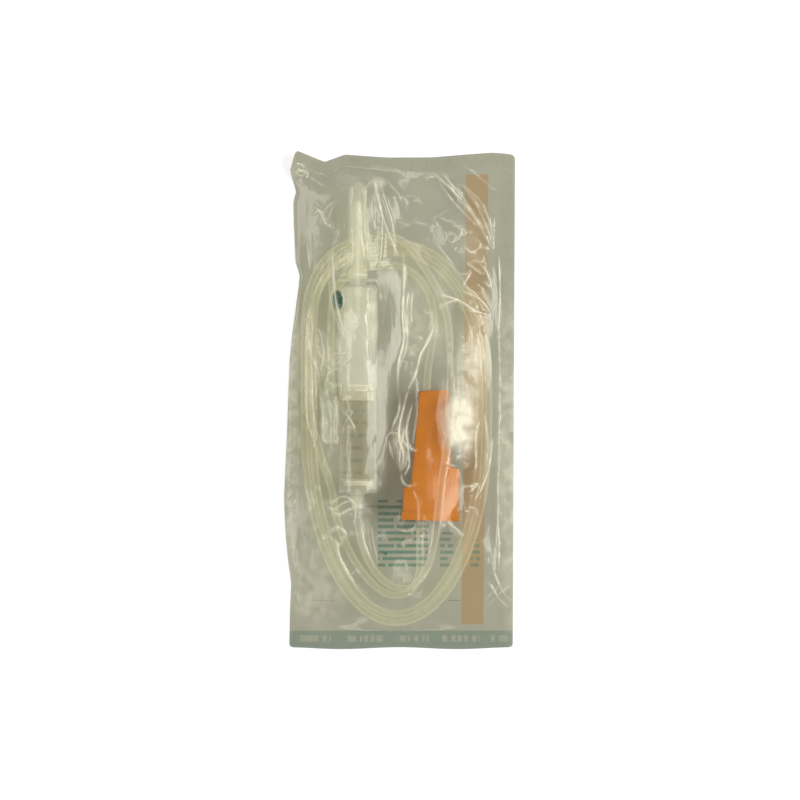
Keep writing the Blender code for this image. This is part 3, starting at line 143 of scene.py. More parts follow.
# The connector's lock collar, from where it starts below the connector's upper end.
COLLAR_START = 0.0098
COLLAR_LENGTH = 0.0100
COLLAR_RADIUS = 0.0045
COLLAR_RIB = 0.0004
COLLAR_WALL = 0.0009
COLLAR_FLOOR = 0.0011
COLLAR_HOLE = 0.0029
COLLAR_EDGE = 0.0003

# Places along the tube that is not coiled, as in the part's source.
RUN_FROM_CHAMBER = [
    (-0.0220, -0.0594, 0.01030), (-0.0215, -0.0678, 0.00820), (-0.0193, -0.0774, 0.00480),
    (-0.0156, -0.0864, 0.00290), (-0.0093, -0.0949, 0.00280), (-0.0019, -0.0992, 0.00420),
    (0.0056, -0.0990, 0.00740), (0.0114, -0.0938, 0.01150), (0.0156, -0.0855, 0.01540),
    (0.0178, -0.0765, 0.01800), (0.0193, -0.0678, 0.01920), (0.0204, -0.0557, 0.01935),
    (0.0220, -0.0424, 0.01920), (0.0241, -0.0292, 0.01840), (0.0257, -0.0159, 0.01760),
    (0.0265, -0.0027, 0.01730), (0.0268, 0.0080, 0.01640), (0.0268, 0.0186, 0.01340),
    (0.0266, 0.0292, 0.00960), (0.0259, 0.0382, 0.00760), (0.0243, 0.0466, 0.00700),
    (0.0215, 0.0551, 0.00700), (0.0167, 0.0641, 0.00700), (0.0109, 0.0731, 0.00700),
    (0.0045, 0.0816, 0.00700),
]
RUN_OVER_TOP = [(-0.0018, 0.0854, 0.00690), (-0.0088, 0.0869, 0.00560)]
RUN_OFF_COIL = [(-0.0413, -0.0300, 0.00260), (-0.0386, -0.0385, 0.00260)]
RUN_TO_CLAMP = [
    (-0.0357, -0.0480, 0.00260), (-0.0336, -0.0610, 0.00260), (-0.0292, -0.0742, 0.00260),
    (-0.0226, -0.0870, 0.00260), (-0.0146, -0.0970, 0.00260), (-0.0072, -0.1022, 0.00260),
    (0.0002, -0.1034, 0.00260), (0.0064, -0.1003, 0.00300), (0.0099, -0.0935, 0.00420),
    (0.0109, -0.0848, 0.00620), (0.0108, -0.0753, 0.00790),
]
RUN_TO_CONNECTOR = [
    (0.0152, 0.0170, 0.00790), (0.0167, 0.0265, 0.00590), (0.0181, 0.0366, 0.00360),
    (0.0180, 0.0466, 0.00265), (0.0158, 0.0557, 0.00260), (0.0117, 0.0629, 0.00260),
    (0.0055, 0.0683, 0.00260), (-0.0029, 0.0713, 0.00255), (-0.0126, 0.0710, 0.00255),
    (-0.0220, 0.0686, 0.00255), (-0.0295, 0.0643, 0.00255), (-0.0338, 0.0580, 0.00260),
    (-0.0356, 0.0500, 0.00265), (-0.0362, 0.0400, 0.00295), (-0.0363, 0.0310, 0.00365),
    (-0.0363, 0.0220, 0.00440),
]

# The pouch's left edge, from the bottom up, and its top edge, from left to right.
LEFT_EDGE = [
    (-0.1320, -0.0584), (-0.1120, -0.0580), (-0.0980, -0.0574), (-0.0853, -0.0591), (-0.0740, -0.0602),
    (-0.0640, -0.0608), (-0.0530, -0.0612), (-0.0380, -0.0606), (-0.0175, -0.0596), (0.0020, -0.0590),
    (0.0207, -0.0582), (0.0340, -0.0569), (0.0446, -0.0555), (0.0602, -0.0534), (0.0662, -0.0528),
    (0.0731, -0.0552), (0.0920, -0.0560), (0.1050, -0.0563), (0.1102, -0.0548), (0.1214, -0.0580),
    (0.1320, -0.0547),
]
TOP_EDGE = [
    (-0.0600, 0.1318), (-0.0547, 0.1320), (-0.0396, 0.1262), (-0.0288, 0.1301), (-0.0158, 0.1291),
    (-0.0055, 0.1285), (0.0170, 0.1286), (0.0330, 0.1299), (0.0489, 0.1311), (0.0560, 0.1306),
    (0.0612, 0.1298),
]

# Creases in the film: how high, how wide their left and right flanks are, and the places they run
# through, all in millimetres.
CREASES = [
    (1.1, 1.0, 2.4, [(-13.5, 117.7), (-11.0, 104.0), (-6.0, 88.0), (0.5, 73.0)]),
    (0.7, 0.9, 1.6, [(-12.5, 116.5), (-9.5, 98.0), (-9.5, 80.0), (-11.5, 66.0)]),
    (0.5, 1.0, 1.2, [(-16.0, 125.0), (-6.0, 123.0), (4.0, 119.0)]),
    (1.0, 1.4, 1.0, [(17.2, 120.8), (29.0, 110.0), (40.0, 96.0), (49.0, 80.0)]),
    (0.8, 1.2, 0.8, [(21.0, 121.0), (32.0, 109.0), (42.0, 94.0), (49.5, 79.0)]),
    (0.7, 1.0, 0.8, [(34.0, 113.0), (41.0, 103.0), (46.0, 92.0), (50.0, 79.0)]),
    (0.6, 1.0, 0.7, [(34.0, 113.0), (43.0, 105.0), (48.0, 93.0), (50.0, 79.0)]),
    (1.4, 0.8, 2.2, [(-35.6, 80.0), (-34.8, 66.0), (-33.6, 54.0), (-31.5, 43.0), (-28.4, 34.5)]),
    (1.2, 0.9, 1.6, [(1.9, 78.0), (2.3, 62.0), (1.4, 45.0), (2.2, 32.0), (-0.6, 20.0), (-1.2, 8.6)]),
    (0.7, 1.0, 1.4, [(4.5, 60.0), (3.8, 44.0), (4.2, 30.0)]),
    (1.0, 1.6, 1.0, [(19.3, 41.3), (14.5, 30.0), (11.0, 24.0), (8.5, 14.0), (4.5, 5.0)]),
    (1.0, 1.0, 1.0, [(4.5, 4.6), (1.0, -8.0), (-0.5, -19.0), (2.0, -29.0), (0.4, -38.0)]),
    (0.8, 0.8, 1.0, [(7.0, -2.0), (3.6, -14.0), (4.4, -26.0), (5.5, -36.0)]),
    (0.8, 0.9, 0.8, [(-0.5, -19.0), (5.5, -25.5), (10.0, -27.0)]),
    (0.7, 0.8, 0.8, [(2.0, -29.0), (5.0, -33.0), (2.8, -40.0)]),
    (0.9, 1.0, 1.4, [(-31.0, -4.2), (-26.0, -10.0), (-22.8, -17.5)]),
    (1.0, 0.8, 1.0, [(-49.5, 48.0), (-48.5, 36.0), (-47.0, 25.0), (-42.5, 13.0)]),
    (0.9, 0.9, 1.0, [(-44.5, 37.5), (-42.0, 36.0), (-40.5, 30.0), (-40.0, 22.0), (-42.0, 14.0)]),
    (0.8, 1.0, 0.8, [(-41.0, 24.5), (-32.0, 24.0), (-27.0, 25.0), (-24.0, 23.0)]),
    (0.8, 1.0, 0.8, [(-24.0, 24.0), (-30.0, 18.0), (-37.0, 14.0), (-40.0, 6.0)]),
    (1.0, 1.0, 1.0, [(-45.5, 18.0), (-46.0, 2.0), (-45.0, -12.0), (-45.5, -26.0)]),
    (0.8, 0.8, 1.0, [(-38.5, 4.0), (-36.0, -10.0), (-36.5, -26.0)]),
    (1.0, 0.8, 0.8, [(-42.0, -53.0), (-36.0, -54.0), (-30.0, -50.5), (-25.0, -52.5), (-23.0, -58.0)]),
    (0.9, 0.8, 0.8, [(-41.0, -53.0), (-33.0, -60.0), (-26.5, -57.5), (-23.0, -58.0), (-24.5, -66.0)]),
    (1.0, 0.8, 0.8, [(-38.0, -71.5), (-35.0, -68.0), (-31.0, -67.5), (-28.0, -71.0), (-31.0, -75.0)]),
    (0.9, 0.8, 0.8, [(-38.0, -71.5), (-33.5, -75.0), (-32.5, -80.0), (-30.5, -87.0)]),
    (0.8, 0.8, 0.8, [(-30.0, -74.0), (-32.5, -80.0), (-28.0, -90.0), (-21.0, -101.0)]),
    (0.7, 0.7, 0.9, [(-20.5, -62.0), (-18.5, -76.0), (-13.0, -88.0)]),
    (0.6, 0.7, 0.7, [(-15.0, -66.0), (-13.5, -76.0), (-11.0, -87.0)]),
    (1.2, 1.0, 1.6, [(21.0, 55.7), (31.0, 52.5), (40.0, 47.0), (48.5, 44.5)]),
    (0.9, 1.0, 1.0, [(33.0, 57.5), (41.0, 54.0), (47.0, 48.0), (49.0, 44.0)]),
    (0.9, 0.9, 0.9, [(41.5, 73.0), (46.0, 68.0), (48.5, 60.0), (44.0, 63.0)]),
    (0.8, 0.8, 0.8, [(28.0, 92.8), (33.0, 90.0), (30.0, 84.0)]),
    (0.8, 0.8, 0.8, [(34.0, 82.0), (38.0, 78.0), (43.0, 82.0), (40.0, 86.0)]),
    (0.9, 1.2, 0.8, [(39.5, -53.0), (43.5, -46.0), (47.0, -36.0), (49.5, -20.0)]),
    (0.9, 0.8, 0.8, [(36.5, -45.5), (41.5, -44.0), (38.0, -47.5)]),
    (0.8, 0.8, 0.8, [(36.0, -56.0), (40.0, -57.5), (42.0, -62.0)]),
    (1.0, 0.9, 0.9, [(24.5, -63.5), (29.0, -67.0), (34.0, -71.5)]),
    (0.9, 0.9, 0.9, [(6.8, -75.0), (10.0, -74.0), (13.5, -76.5)]),
    (0.8, 0.8, 0.8, [(-1.0, -68.0), (5.0, -69.0), (9.0, -66.5)]),
    (0.6, 0.8, 0.8, [(46.4, -95.4), (52.5, -105.0), (58.5, -110.2)]),
    (0.6, 0.8, 0.8, [(50.0, -92.0), (55.0, -102.0), (59.0, -106.0)]),
    (0.9, 1.0, 0.8, [(52.6, 77.0), (53.2, 55.0), (52.6, 37.0)]),
    (0.7, 0.9, 0.7, [(52.0, -65.5), (52.8, -78.0), (52.4, -92.0)]),
    (1.0, 0.8, 1.0, [(-45.8, 103.3), (-42.0, 99.0), (-38.8, 92.8), (-35.8, 91.8)]),
    (0.8, 0.8, 0.8, [(-47.0, 97.0), (-42.0, 100.0), (-39.0, 95.0)]),
    (0.8, 0.8, 0.8, [(-49.5, 87.0), (-48.0, 76.0), (-47.5, 68.0)]),
    (0.8, 1.0, 0.6, [(-53.0, 122.0), (-48.5, 120.5), (-49.5, 117.0)]),
]

# Sharp folds that show as thin lines, from their relief and from painted highlights along their crests: how
# high, and the places they run through, in millimetres.
FINE_CREASES = [
    (0.6, [(-30.5, 6.7), (-21.8, 7.6), (-12.4, 6.7)]), (0.6, [(-31.0, 4.6), (-21.8, 5.2), (-11.5, 4.6)]),
    (0.5, [(-56.4, 120.3), (-52.5, 121.2), (-49.3, 121.5)]),
    (0.5, [(-56.4, 120.3), (-52.9, 119.1), (-51.4, 118.3), (-49.3, 121.5)]),
    (0.3, [(-54.7, 114.9), (-50.3, 114.0), (-46.9, 109.3)]),
    (0.5, [(-43.9, 92.5), (-40.9, 98.1), (-37.4, 102.8), (-34.8, 103.9), (-30.9, 104.4)]),
    (0.5, [(-43.9, 92.5), (-40.0, 94.2), (-37.0, 97.2), (-36.1, 100.7), (-34.8, 103.7)]),
    (0.4, [(-45.2, 88.6), (-45.6, 83.4), (-44.8, 76.5), (-45.6, 67.1)]),
    (0.6, [(-13.7, 116.6), (-17.1, 111.9), (-18.4, 98.9), (-17.6, 80.0)]),
    (0.6, [(-21.4, 110.6), (-21.0, 98.9), (-20.0, 80.0)]),
    (0.4, [(-26.2, 106.7), (-25.1, 98.1), (-25.5, 88.6)]),
    (0.5, [(-11.9, 115.3), (-13.1, 106.7), (-12.4, 90.3)]),
    (0.6, [(-12.8, 114.5), (-8.9, 109.3), (-5.5, 98.1), (-3.1, 86.9), (-2.0, 71.4)]),
    (0.6, [(-10.2, 115.3), (-7.4, 105.0), (-3.7, 93.8), (-1.5, 80.0)]),
    (0.4, [(-8.1, 117.5), (-3.7, 112.7), (-0.3, 108.4), (1.6, 103.3)]),
    (0.5, [(-17.6, 125.2), (-9.8, 122.2), (-2.0, 122.0), (4.0, 118.8)]),
    (0.4, [(-1.2, 95.1), (1.4, 93.1), (3.6, 93.9), (5.3, 92.1)]),
    (0.4, [(2.7, 107.6), (7.5, 107.7), (11.4, 106.5)]), (0.4, [(6.6, 104.8), (9.6, 105.8), (12.0, 103.4)]),
    (0.5, [(14.2, 115.8), (15.4, 117.9), (19.6, 118.3)]),
    (0.6, [(19.6, 117.9), (26.5, 107.6), (34.2, 98.9), (41.1, 92.1), (49.8, 82.6)]),
    (0.5, [(21.7, 122.2), (26.5, 115.3), (30.8, 106.7), (36.8, 98.1)]),
    (0.6, [(29.9, 114.9), (34.2, 106.7), (38.5, 98.9), (44.6, 92.1), (50.2, 83.4)]),
    (0.5, [(29.9, 114.9), (36.8, 111.4), (42.0, 103.3), (47.2, 96.4), (50.3, 85.2)]),
    (0.4, [(36.0, 107.6), (39.4, 105.8), (42.9, 98.9), (48.2, 86.9)]),
    (0.3, [(32.5, 125.7), (41.1, 118.8), (50.6, 111.4)]),
    (0.4, [(47.0, 113.6), (48.9, 111.7), (51.9, 111.4)]),
    (0.5, [(17.4, 89.9), (20.0, 93.3), (17.7, 95.3), (20.9, 98.1)]),
    (0.4, [(25.6, 100.7), (21.3, 97.2), (24.3, 95.1), (30.8, 93.8)]),
    (0.5, [(30.8, 91.6), (34.2, 90.3), (34.9, 87.7), (30.8, 86.9)]),
    (0.5, [(24.7, 86.9), (28.2, 88.2), (29.9, 85.6), (27.3, 83.3), (25.4, 85.2)]),
    (0.5, [(41.1, 80.0), (44.2, 80.8), (47.6, 80.0)]), (0.6, [(34.7, 73.1), (39.4, 69.6), (44.2, 66.2)]),
    (0.6, [(37.7, 73.8), (45.0, 72.4), (44.8, 66.2)]), (0.4, [(3.2, 84.3), (11.8, 80.0), (16.1, 74.8)]),
    (0.4, [(20.0, 81.7), (25.6, 74.8), (29.5, 68.3)]),
    (0.5, [(29.1, 68.3), (34.2, 66.2), (37.7, 67.9), (34.2, 61.9), (32.9, 58.9)]),
    (0.6, [(19.6, 47.2), (25.6, 51.4), (32.5, 51.7), (39.4, 46.4), (47.2, 45.1)]),
    (0.5, [(32.5, 61.0), (39.4, 56.7), (45.4, 50.7), (47.2, 45.3)]),
    (0.6, [(2.1, 75.7), (3.3, 66.2), (2.3, 53.3), (3.0, 40.3), (3.6, 28.3), (-0.1, 16.2)]),
    (0.5, [(1.0, 57.6), (1.4, 42.1), (1.9, 28.3), (-0.8, 14.5), (-0.5, 0.7)]),
    (0.5, [(7.0, 58.4), (5.9, 48.1), (6.4, 38.6)]), (0.5, [(12.7, 47.2), (17.4, 44.6), (15.2, 37.7)]),
    (0.6, [(19.1, 44.6), (15.2, 33.4), (10.9, 23.1), (4.9, 5.0)]),
    (0.6, [(-37.8, 79.1), (-37.2, 66.2), (-35.7, 49.0), (-32.2, 38.6), (-27.7, 30.4)]),
    (0.5, [(-37.1, 79.1), (-35.5, 63.6), (-34.4, 48.1), (-30.9, 37.7)]),
    (0.6, [(-46.9, 46.4), (-47.3, 36.0), (-46.2, 24.8), (-43.0, 14.5), (-41.9, 0.7)]),
    (0.5, [(-41.0, 39.5), (-40.4, 36.0), (-38.1, 29.1), (-37.6, 20.5), (-41.3, 23.1), (-43.9, 30.8),
     (-40.0, 32.6)]),
    (0.5, [(-37.8, 24.8), (-31.8, 25.3), (-25.7, 25.2), (-27.9, 22.1), (-33.1, 20.5), (-36.5, 17.9)]),
    (0.5, [(-41.3, 20.5), (-36.5, 15.3), (-38.4, 11.0), (-34.8, 7.6), (-30.9, 7.6), (-32.2, 0.7)]),
    (0.5, [(4.9, 15.3), (8.3, 11.9), (9.4, 5.8), (8.8, 0.2)]),
    (0.4, [(54.1, 74.8), (53.0, 57.6), (54.5, 39.5)]), (0.4, [(51.5, 32.1), (52.8, 33.9), (54.5, 33.4)]),
    (0.5, [(-53.0, -18.4), (-53.1, -22.8), (-52.6, -26.4)]),
    (0.6, [(-41.8, 2.6), (-40.3, -10.5), (-40.7, -22.0)]),
    (0.6, [(-34.3, 2.6), (-32.6, -10.5), (-33.0, -23.7)]),
    (0.5, [(-41.5, -13.6), (-38.7, -11.9), (-36.5, -14.1)]),
    (0.5, [(-41.4, -20.4), (-38.7, -22.0), (-36.1, -20.0)]),
    (0.6, [(-31.0, -17.7), (-27.3, -10.5), (-23.6, -4.6)]),
    (0.6, [(0.3, 2.6), (-0.5, -6.1), (-3.6, -14.1), (-4.0, -18.4)]),
    (0.5, [(9.6, 2.6), (8.7, -10.5), (6.8, -23.7)]),
    (0.6, [(2.8, -14.1), (0.8, -23.7), (-0.2, -30.8), (1.0, -38.2)]),
    (0.6, [(4.2, -21.1), (6.3, -25.3), (9.8, -25.7)]),
    (0.6, [(0.8, -26.4), (3.9, -28.1), (3.3, -32.5), (1.5, -36.9)]),
    (0.6, [(-8.1, -20.4), (-4.4, -17.1), (0.1, -18.3), (-1.6, -22.8)]),
    (0.4, [(-7.1, -21.1), (-8.8, -26.4), (-11.5, -32.5)]),
    (0.4, [(-5.8, -21.1), (-4.4, -26.4), (-3.1, -31.6)]),
    (0.6, [(0.7, -38.5), (2.1, -43.5), (6.1, -45.3), (9.6, -43.9)]),
    (0.4, [(7.0, -46.6), (10.1, -54.5), (10.1, -72.9)]),
    (0.5, [(-45.1, -44.8), (-43.1, -46.6), (-42.1, -47.9)]),
    (0.6, [(-40.7, -58.0), (-34.3, -57.5), (-29.9, -54.3), (-25.5, -53.1), (-21.8, -56.4), (-22.9, -60.8)]),
    (0.5, [(-37.4, -60.8), (-30.8, -60.3), (-24.5, -57.1)]),
    (0.6, [(-37.1, -70.5), (-33.3, -68.0), (-28.9, -69.8), (-30.4, -72.9), (-35.2, -72.1)]),
    (0.6, [(-33.5, -73.4), (-31.9, -76.5), (-32.6, -79.1), (-30.8, -82.8)]),
    (0.4, [(-22.0, -58.9), (-18.7, -66.8), (-19.4, -74.7), (-17.6, -81.7)]),
    (0.4, [(-16.8, -64.2), (-16.3, -72.1), (-14.1, -83.9)]),
    (0.5, [(-25.7, -92.5), (-22.7, -89.8), (-21.0, -91.1), (-22.9, -92.5)]),
    (0.4, [(-30.4, -84.4), (-26.4, -92.3), (-22.0, -98.4), (-15.9, -103.7)]),
    (0.6, [(-0.0, -77.2), (3.0, -74.0), (6.3, -74.4), (0.8, -76.6)]),
    (0.6, [(25.9, -65.7), (29.8, -69.4), (34.2, -71.9)]),
    (0.4, [(25.9, -65.7), (28.1, -70.3), (32.5, -71.6)]),
    (0.5, [(32.5, -46.7), (36.0, -45.3), (39.5, -46.6), (36.0, -48.5)]),
    (0.5, [(34.2, -57.8), (37.0, -58.9)]),
    (0.4, [(35.6, -51.1), (39.5, -49.9)]), (0.4, [(0.4, -93.0), (0.8, -97.1)]),
    (0.3, [(45.2, -110.3), (53.6, -102.0), (60.6, -96.7)]),
    (0.3, [(44.8, -106.3), (52.7, -98.4), (57.1, -95.8)]),
    (0.4, [(52.0, -72.9), (52.3, -80.0), (52.2, -87.9)]),
    (0.4, [(48.3, -78.2), (49.5, -90.5)]), (0.6, [(22.6, -30.8), (25.4, -33.6), (30.9, -35.0)]),
    (0.5, [(16.5, -30.8), (17.7, -32.5)]),
    (0.5, [(43.0, -8.8), (40.4, -17.6), (40.2, -26.4), (40.8, -37.8)]),
    (0.4, [(44.8, -6.1), (47.0, -23.7), (46.1, -34.3)]),
]
FINE_FLANK = 0.7
LINE_WIDTH = 0.00045
CREASE_STEP = 1.5

# Where the film is crumpled most: middle and spread in millimetres, how strongly.
CRUMPLED_PLACES = [
    (34, -9, 11, 21, 1.5), (36, 88, 14, 20, 0.9), (40, 50, 6, 10, 0.9), (-40, 22, 9, 16, 0.9),
    (-40, -20, 8, 26, 0.6), (1, -20, 6, 18, 1.0), (-30, -64, 12, 16, 0.8), (-8, -72, 14, 12, 0.6),
    (36, -62, 8, 14, 0.8), (-40, 92, 10, 18, 0.5), (-4, 104, 18, 12, 0.5), (-18, 40, 7, 22, 1.0),
    (8, 40, 12, 26, 0.5), (-18, 85, 10, 24, 0.6),
]
LEAST_CRUMPLE = 0.24

# Where the film is taut, over the clamp's wide end: middle and spread in millimetres, how strongly.
TAUT_PLACES = [(21, -47, 9.5, 15, 0.95)]

# Where the film is painted white: partly the milkiness of fine crumpling, partly painted highlights where its
# sheen falls, over the chamber and along its side margins too. Middle and spread in millimetres, how
# strongly.
WHITE_AND_SHEEN_PLACES = [
    (31.5, -12, 8.8, 19, 3.4), (37, 16, 8, 20, 1.7), (-14, 44, 3, 18, 1.1), (-27, 31, 3, 9, 0.9),
    (3, 50, 3, 24, 0.6), (14, 42, 4, 7, 0.9), (-11, 115, 4, 3, 1.6), (-41, 20, 6, 9, 0.7),
    (0, -22, 4, 10, 0.7), (-39.6, -8, 2.4, 16, 1.8), (-33.5, -10, 1.3, 14, 1.2), (-19, -70, 4, 9, 0.8),
    (38, 78, 6, 9, 0.5), (59, -30, 7, 85, 2.1), (-58, 10, 5, 110, 2.1), (-45, -98, 16, 22, 1.2),
    (9, 45, 9, 32, 0.8), (22, 40, 6, 32, 0.8), (-49, 12, 1.5, 26, 0.9),
]

# The crumple's facets: their size in metres, how much longer they are along the pouch, their height.
FACETS = [(0.0100, 2.0, 0.0017), (0.0048, 1.8, 0.0013), (0.0024, 1.5, 0.0008)]

# How white the film is painted, partly its milkiness and partly painted highlights: by crumple, by a crease's
# height in metres, by a line, which is a painted highlight along a crest, less a threshold.
CRUMPLE_WHITE = 0.5
CREASE_FOR_WHITE = 0.0020
LINE_HIGHLIGHT = 3.3
CLEAR_BELOW = 0.08
MOST_WHITE = 3.6

# The steepest that the film may rise from its seals, and the rounds that settle it.
STEEPEST_FILM = 1.6
SETTLING_ROUNDS = 500

# The print, by the corners of its boxes in metres: stripe, band, the bars in it, rows, rules, marks.
STRIPE_TILT = math.radians(0.64)
STRIPE_BOX = (0.0340, -0.1182), (0.0457, 0.1200)
BAND_BOX = (-0.07, -0.14), (0.07, -0.1222)
BAND_BARS_BOX = (-0.0575, -0.1281), (0.0575, -0.1247)
BAR_BLOCKS = [
    ("narrow", 1.0, (-0.0115, -0.0890), (0.0150, -0.0530)),
    ("wide", 0.55, (-0.0320, -0.0480), (-0.0110, 0.0010)),
    ("narrow", 0.8, (0.0215, -0.0885), (0.0285, -0.0700)),
    ("narrow", 0.8, (0.0375, -0.0900), (0.0425, -0.0740)),
]
RULES = [
    ((-0.0183, -0.0566), (0.0002, -0.0559)), ((-0.0464, -0.1065), (-0.0342, -0.1060)),
    ((0.0260, -0.1065), (0.0320, -0.1060)),
]
MARKS = [((-0.0085, -0.0822), (-0.0065, -0.0804)), ((0.0110, -0.0850), (0.0130, -0.0832))]

# What is kept of a clear wall's shade, since light bends through it and lands beside it.
SHADE_KEPT = 0.2

# What the camera sees across, which is the photograph's width, and half of one of its pixels.
VIEW_WIDTH = 0.424
HALF_PIXEL = 0.000265

# How far the lamps stand off, and how far the floor reaches each way.
LAMP_DISTANCE = 1.5
FLOOR_REACH = 3.0


# Colours and nodes


def linear(code):
    """An sRGB colour such as "#c6792e" as the linear colour that Blender's nodes take."""
    channels = [int(code[k : k + 2], 16) / 255 for k in (1, 3, 5)]
    return (*[c / 12.92 if c <= 0.04045 else ((c + 0.055) / 1.055) ** 2.4 for c in channels], 1.0)


def add_node(tree, kind, inputs=None, **settings):
    """Adds a node with its settings. Each input is a value, or a socket that it is linked to."""
    made = tree.nodes.new(kind)
    for name, value in settings.items():
        setattr(made, name, value)
    for name, value in (inputs or {}).items():
        if isinstance(value, bpy.types.NodeSocket):
            tree.links.new(value, made.inputs[name])
        else:
            made.inputs[name].default_value = value
    return made


def new_material(name):
    """An empty material, its node tree and its output."""
    made = bpy.data.materials.new(name)
    made.use_nodes = True
    made.node_tree.nodes.clear()
    return made, made.node_tree, add_node(made.node_tree, "ShaderNodeOutputMaterial")


def put_material(name, finish):
    """Gives a CAD node's object that finish."""
    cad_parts[name].material_slots[0].material = finish


def finish_mesh(name, mesh, finish, body, smooth_angle=35):
    """Links a finished mesh as a piece that rides on a body."""
    made = bpy.data.objects.new(name, mesh)
    bpy.context.scene.collection.objects.link(made)
    if not mesh.materials:
        mesh.materials.append(finish)
    mesh.shade_smooth()
    mesh.set_sharp_from_angle(angle=math.radians(smooth_angle))
    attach(made, body)
    return made


def moulded_copy(node, name, finish, rounding=0.0, body="pack"):
    """A CAD node's shape with its triangles joined, shaded as one moulding, its edges rounded."""
    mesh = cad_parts[node].data.copy()
    mesh.materials.clear()
    bm = bmesh.new()
    bm.from_mesh(mesh)
    bmesh.ops.remove_doubles(bm, verts=bm.verts, dist=1e-6)
    bmesh.ops.dissolve_limit(bm, angle_limit=math.radians(0.5), verts=bm.verts, edges=bm.edges)
    bm.to_mesh(mesh)
    bm.free()
    if rounding:
        holder = bpy.data.objects.new(name, mesh)
        bpy.context.scene.collection.objects.link(holder)
        bevel = holder.modifiers.new("rounded edges", "BEVEL")
        bevel.width = rounding
        bevel.segments = 2
        bevel.limit_method = "ANGLE"
        bevel.angle_limit = math.radians(40)
        bevel.use_clamp_overlap = True
        mesh = plain_mesh(holder)
    made = finish_mesh(name, mesh, finish, body, smooth_angle=38)
    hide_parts(node)
    return made


def plain_mesh(holder):
    """What an object's modifiers make of it, as a plain mesh. The object is removed."""
    bpy.context.view_layer.update()
    mesh = bpy.data.meshes.new_from_object(holder.evaluated_get(bpy.context.evaluated_depsgraph_get()))
    holder.modifiers.clear()
    bpy.data.objects.remove(holder)
    return mesh


def face_outwards(bm, mesh):
    """Turns a mesh's faces outwards and writes it back."""
    bmesh.ops.recalc_face_normals(bm, faces=bm.faces)
    bm.to_mesh(mesh)
    bm.free()
    return mesh


# Shapes that repeat


def new_shape_tree(name, inputs):
    """A geometry tree with a named input for each size, its input node and its output node."""
    tree = bpy.data.node_groups.new(name, "GeometryNodeTree")
    tree.interface.new_socket("Geometry", in_out="OUTPUT", socket_type="NodeSocketGeometry")
    tree.interface.new_socket("Geometry", in_out="INPUT", socket_type="NodeSocketGeometry")
    for label, (kind, default) in inputs.items():
        socket = tree.interface.new_socket(label, in_out="INPUT", socket_type="NodeSocket" + kind)
        if default is not None:
            socket.default_value = default
    return tree, add_node(tree, "NodeGroupInput"), add_node(tree, "NodeGroupOutput")


def finished_tree(tree, shapes, given, output):
    """Ends a tree: the shapes joined, made real and given their finish."""
    joined = add_node(tree, "GeometryNodeJoinGeometry")
    for shape in shapes:
        tree.links.new(shape, joined.inputs[0])
    real = add_node(tree, "GeometryNodeRealizeInstances", {"Geometry": joined.outputs[0]})
    dressed = add_node(
        tree, "GeometryNodeSetMaterial", {"Geometry": real.outputs[0], "Material": given.outputs["Finish"]}
    )
    tree.links.new(dressed.outputs[0], output.inputs[0])
    return tree


def ribs_round_axis():
    """Rounded ribs at even steps round the Z axis, added to the shape that stands there."""
    tree, given, output = new_shape_tree("ribs round an axis", {
        "Count": ("Int", 24), "Radius": ("Float", 0.0071), "Width": ("Float", 0.0008),
        "Height": ("Float", 0.0004), "Length": ("Float", 0.0080), "Middle": ("Float", 0.0),
        "Finish": ("Material", None),
    })
    index = add_node(tree, "GeometryNodeInputIndex")
    step = add_node(
        tree, "ShaderNodeMath", {0: 2 * math.pi, 1: given.outputs["Count"]}, operation="DIVIDE"
    )
    angle = add_node(
        tree, "ShaderNodeMath", {0: index.outputs[0], 1: step.outputs[0]}, operation="MULTIPLY"
    )
    turn = add_node(tree, "FunctionNodeAxisAngleToRotation", {"Axis": (0, 0, 1), "Angle": angle.outputs[0]})
    spoke = add_node(
        tree, "ShaderNodeCombineXYZ", {"X": given.outputs["Radius"], "Z": given.outputs["Middle"]}
    )
    place = add_node(
        tree, "FunctionNodeRotateVector", {"Vector": spoke.outputs[0], "Rotation": turn.outputs[0]}
    )
    points = add_node(
        tree, "GeometryNodePoints", {"Count": given.outputs["Count"], "Position": place.outputs[0]}
    )
    bar = add_node(tree, "GeometryNodeMeshCylinder", {"Vertices": 10, "Radius": 1.0, "Depth": 1.0})
    half_width = add_node(
        tree, "ShaderNodeMath", {0: given.outputs["Width"], 1: 0.5}, operation="MULTIPLY"
    )
    size = add_node(
        tree, "ShaderNodeCombineXYZ",
        {"X": given.outputs["Height"], "Y": half_width.outputs[0], "Z": given.outputs["Length"]},
    )
    rib = add_node(
        tree, "GeometryNodeTransform", {"Geometry": bar.outputs["Mesh"], "Scale": size.outputs[0]}
    )
    ribs = add_node(
        tree, "GeometryNodeInstanceOnPoints",
        {"Points": points.outputs[0], "Instance": rib.outputs[0], "Rotation": turn.outputs[0]},
    )
    return finished_tree(tree, [given.outputs["Geometry"], ribs.outputs[0]], given, output)


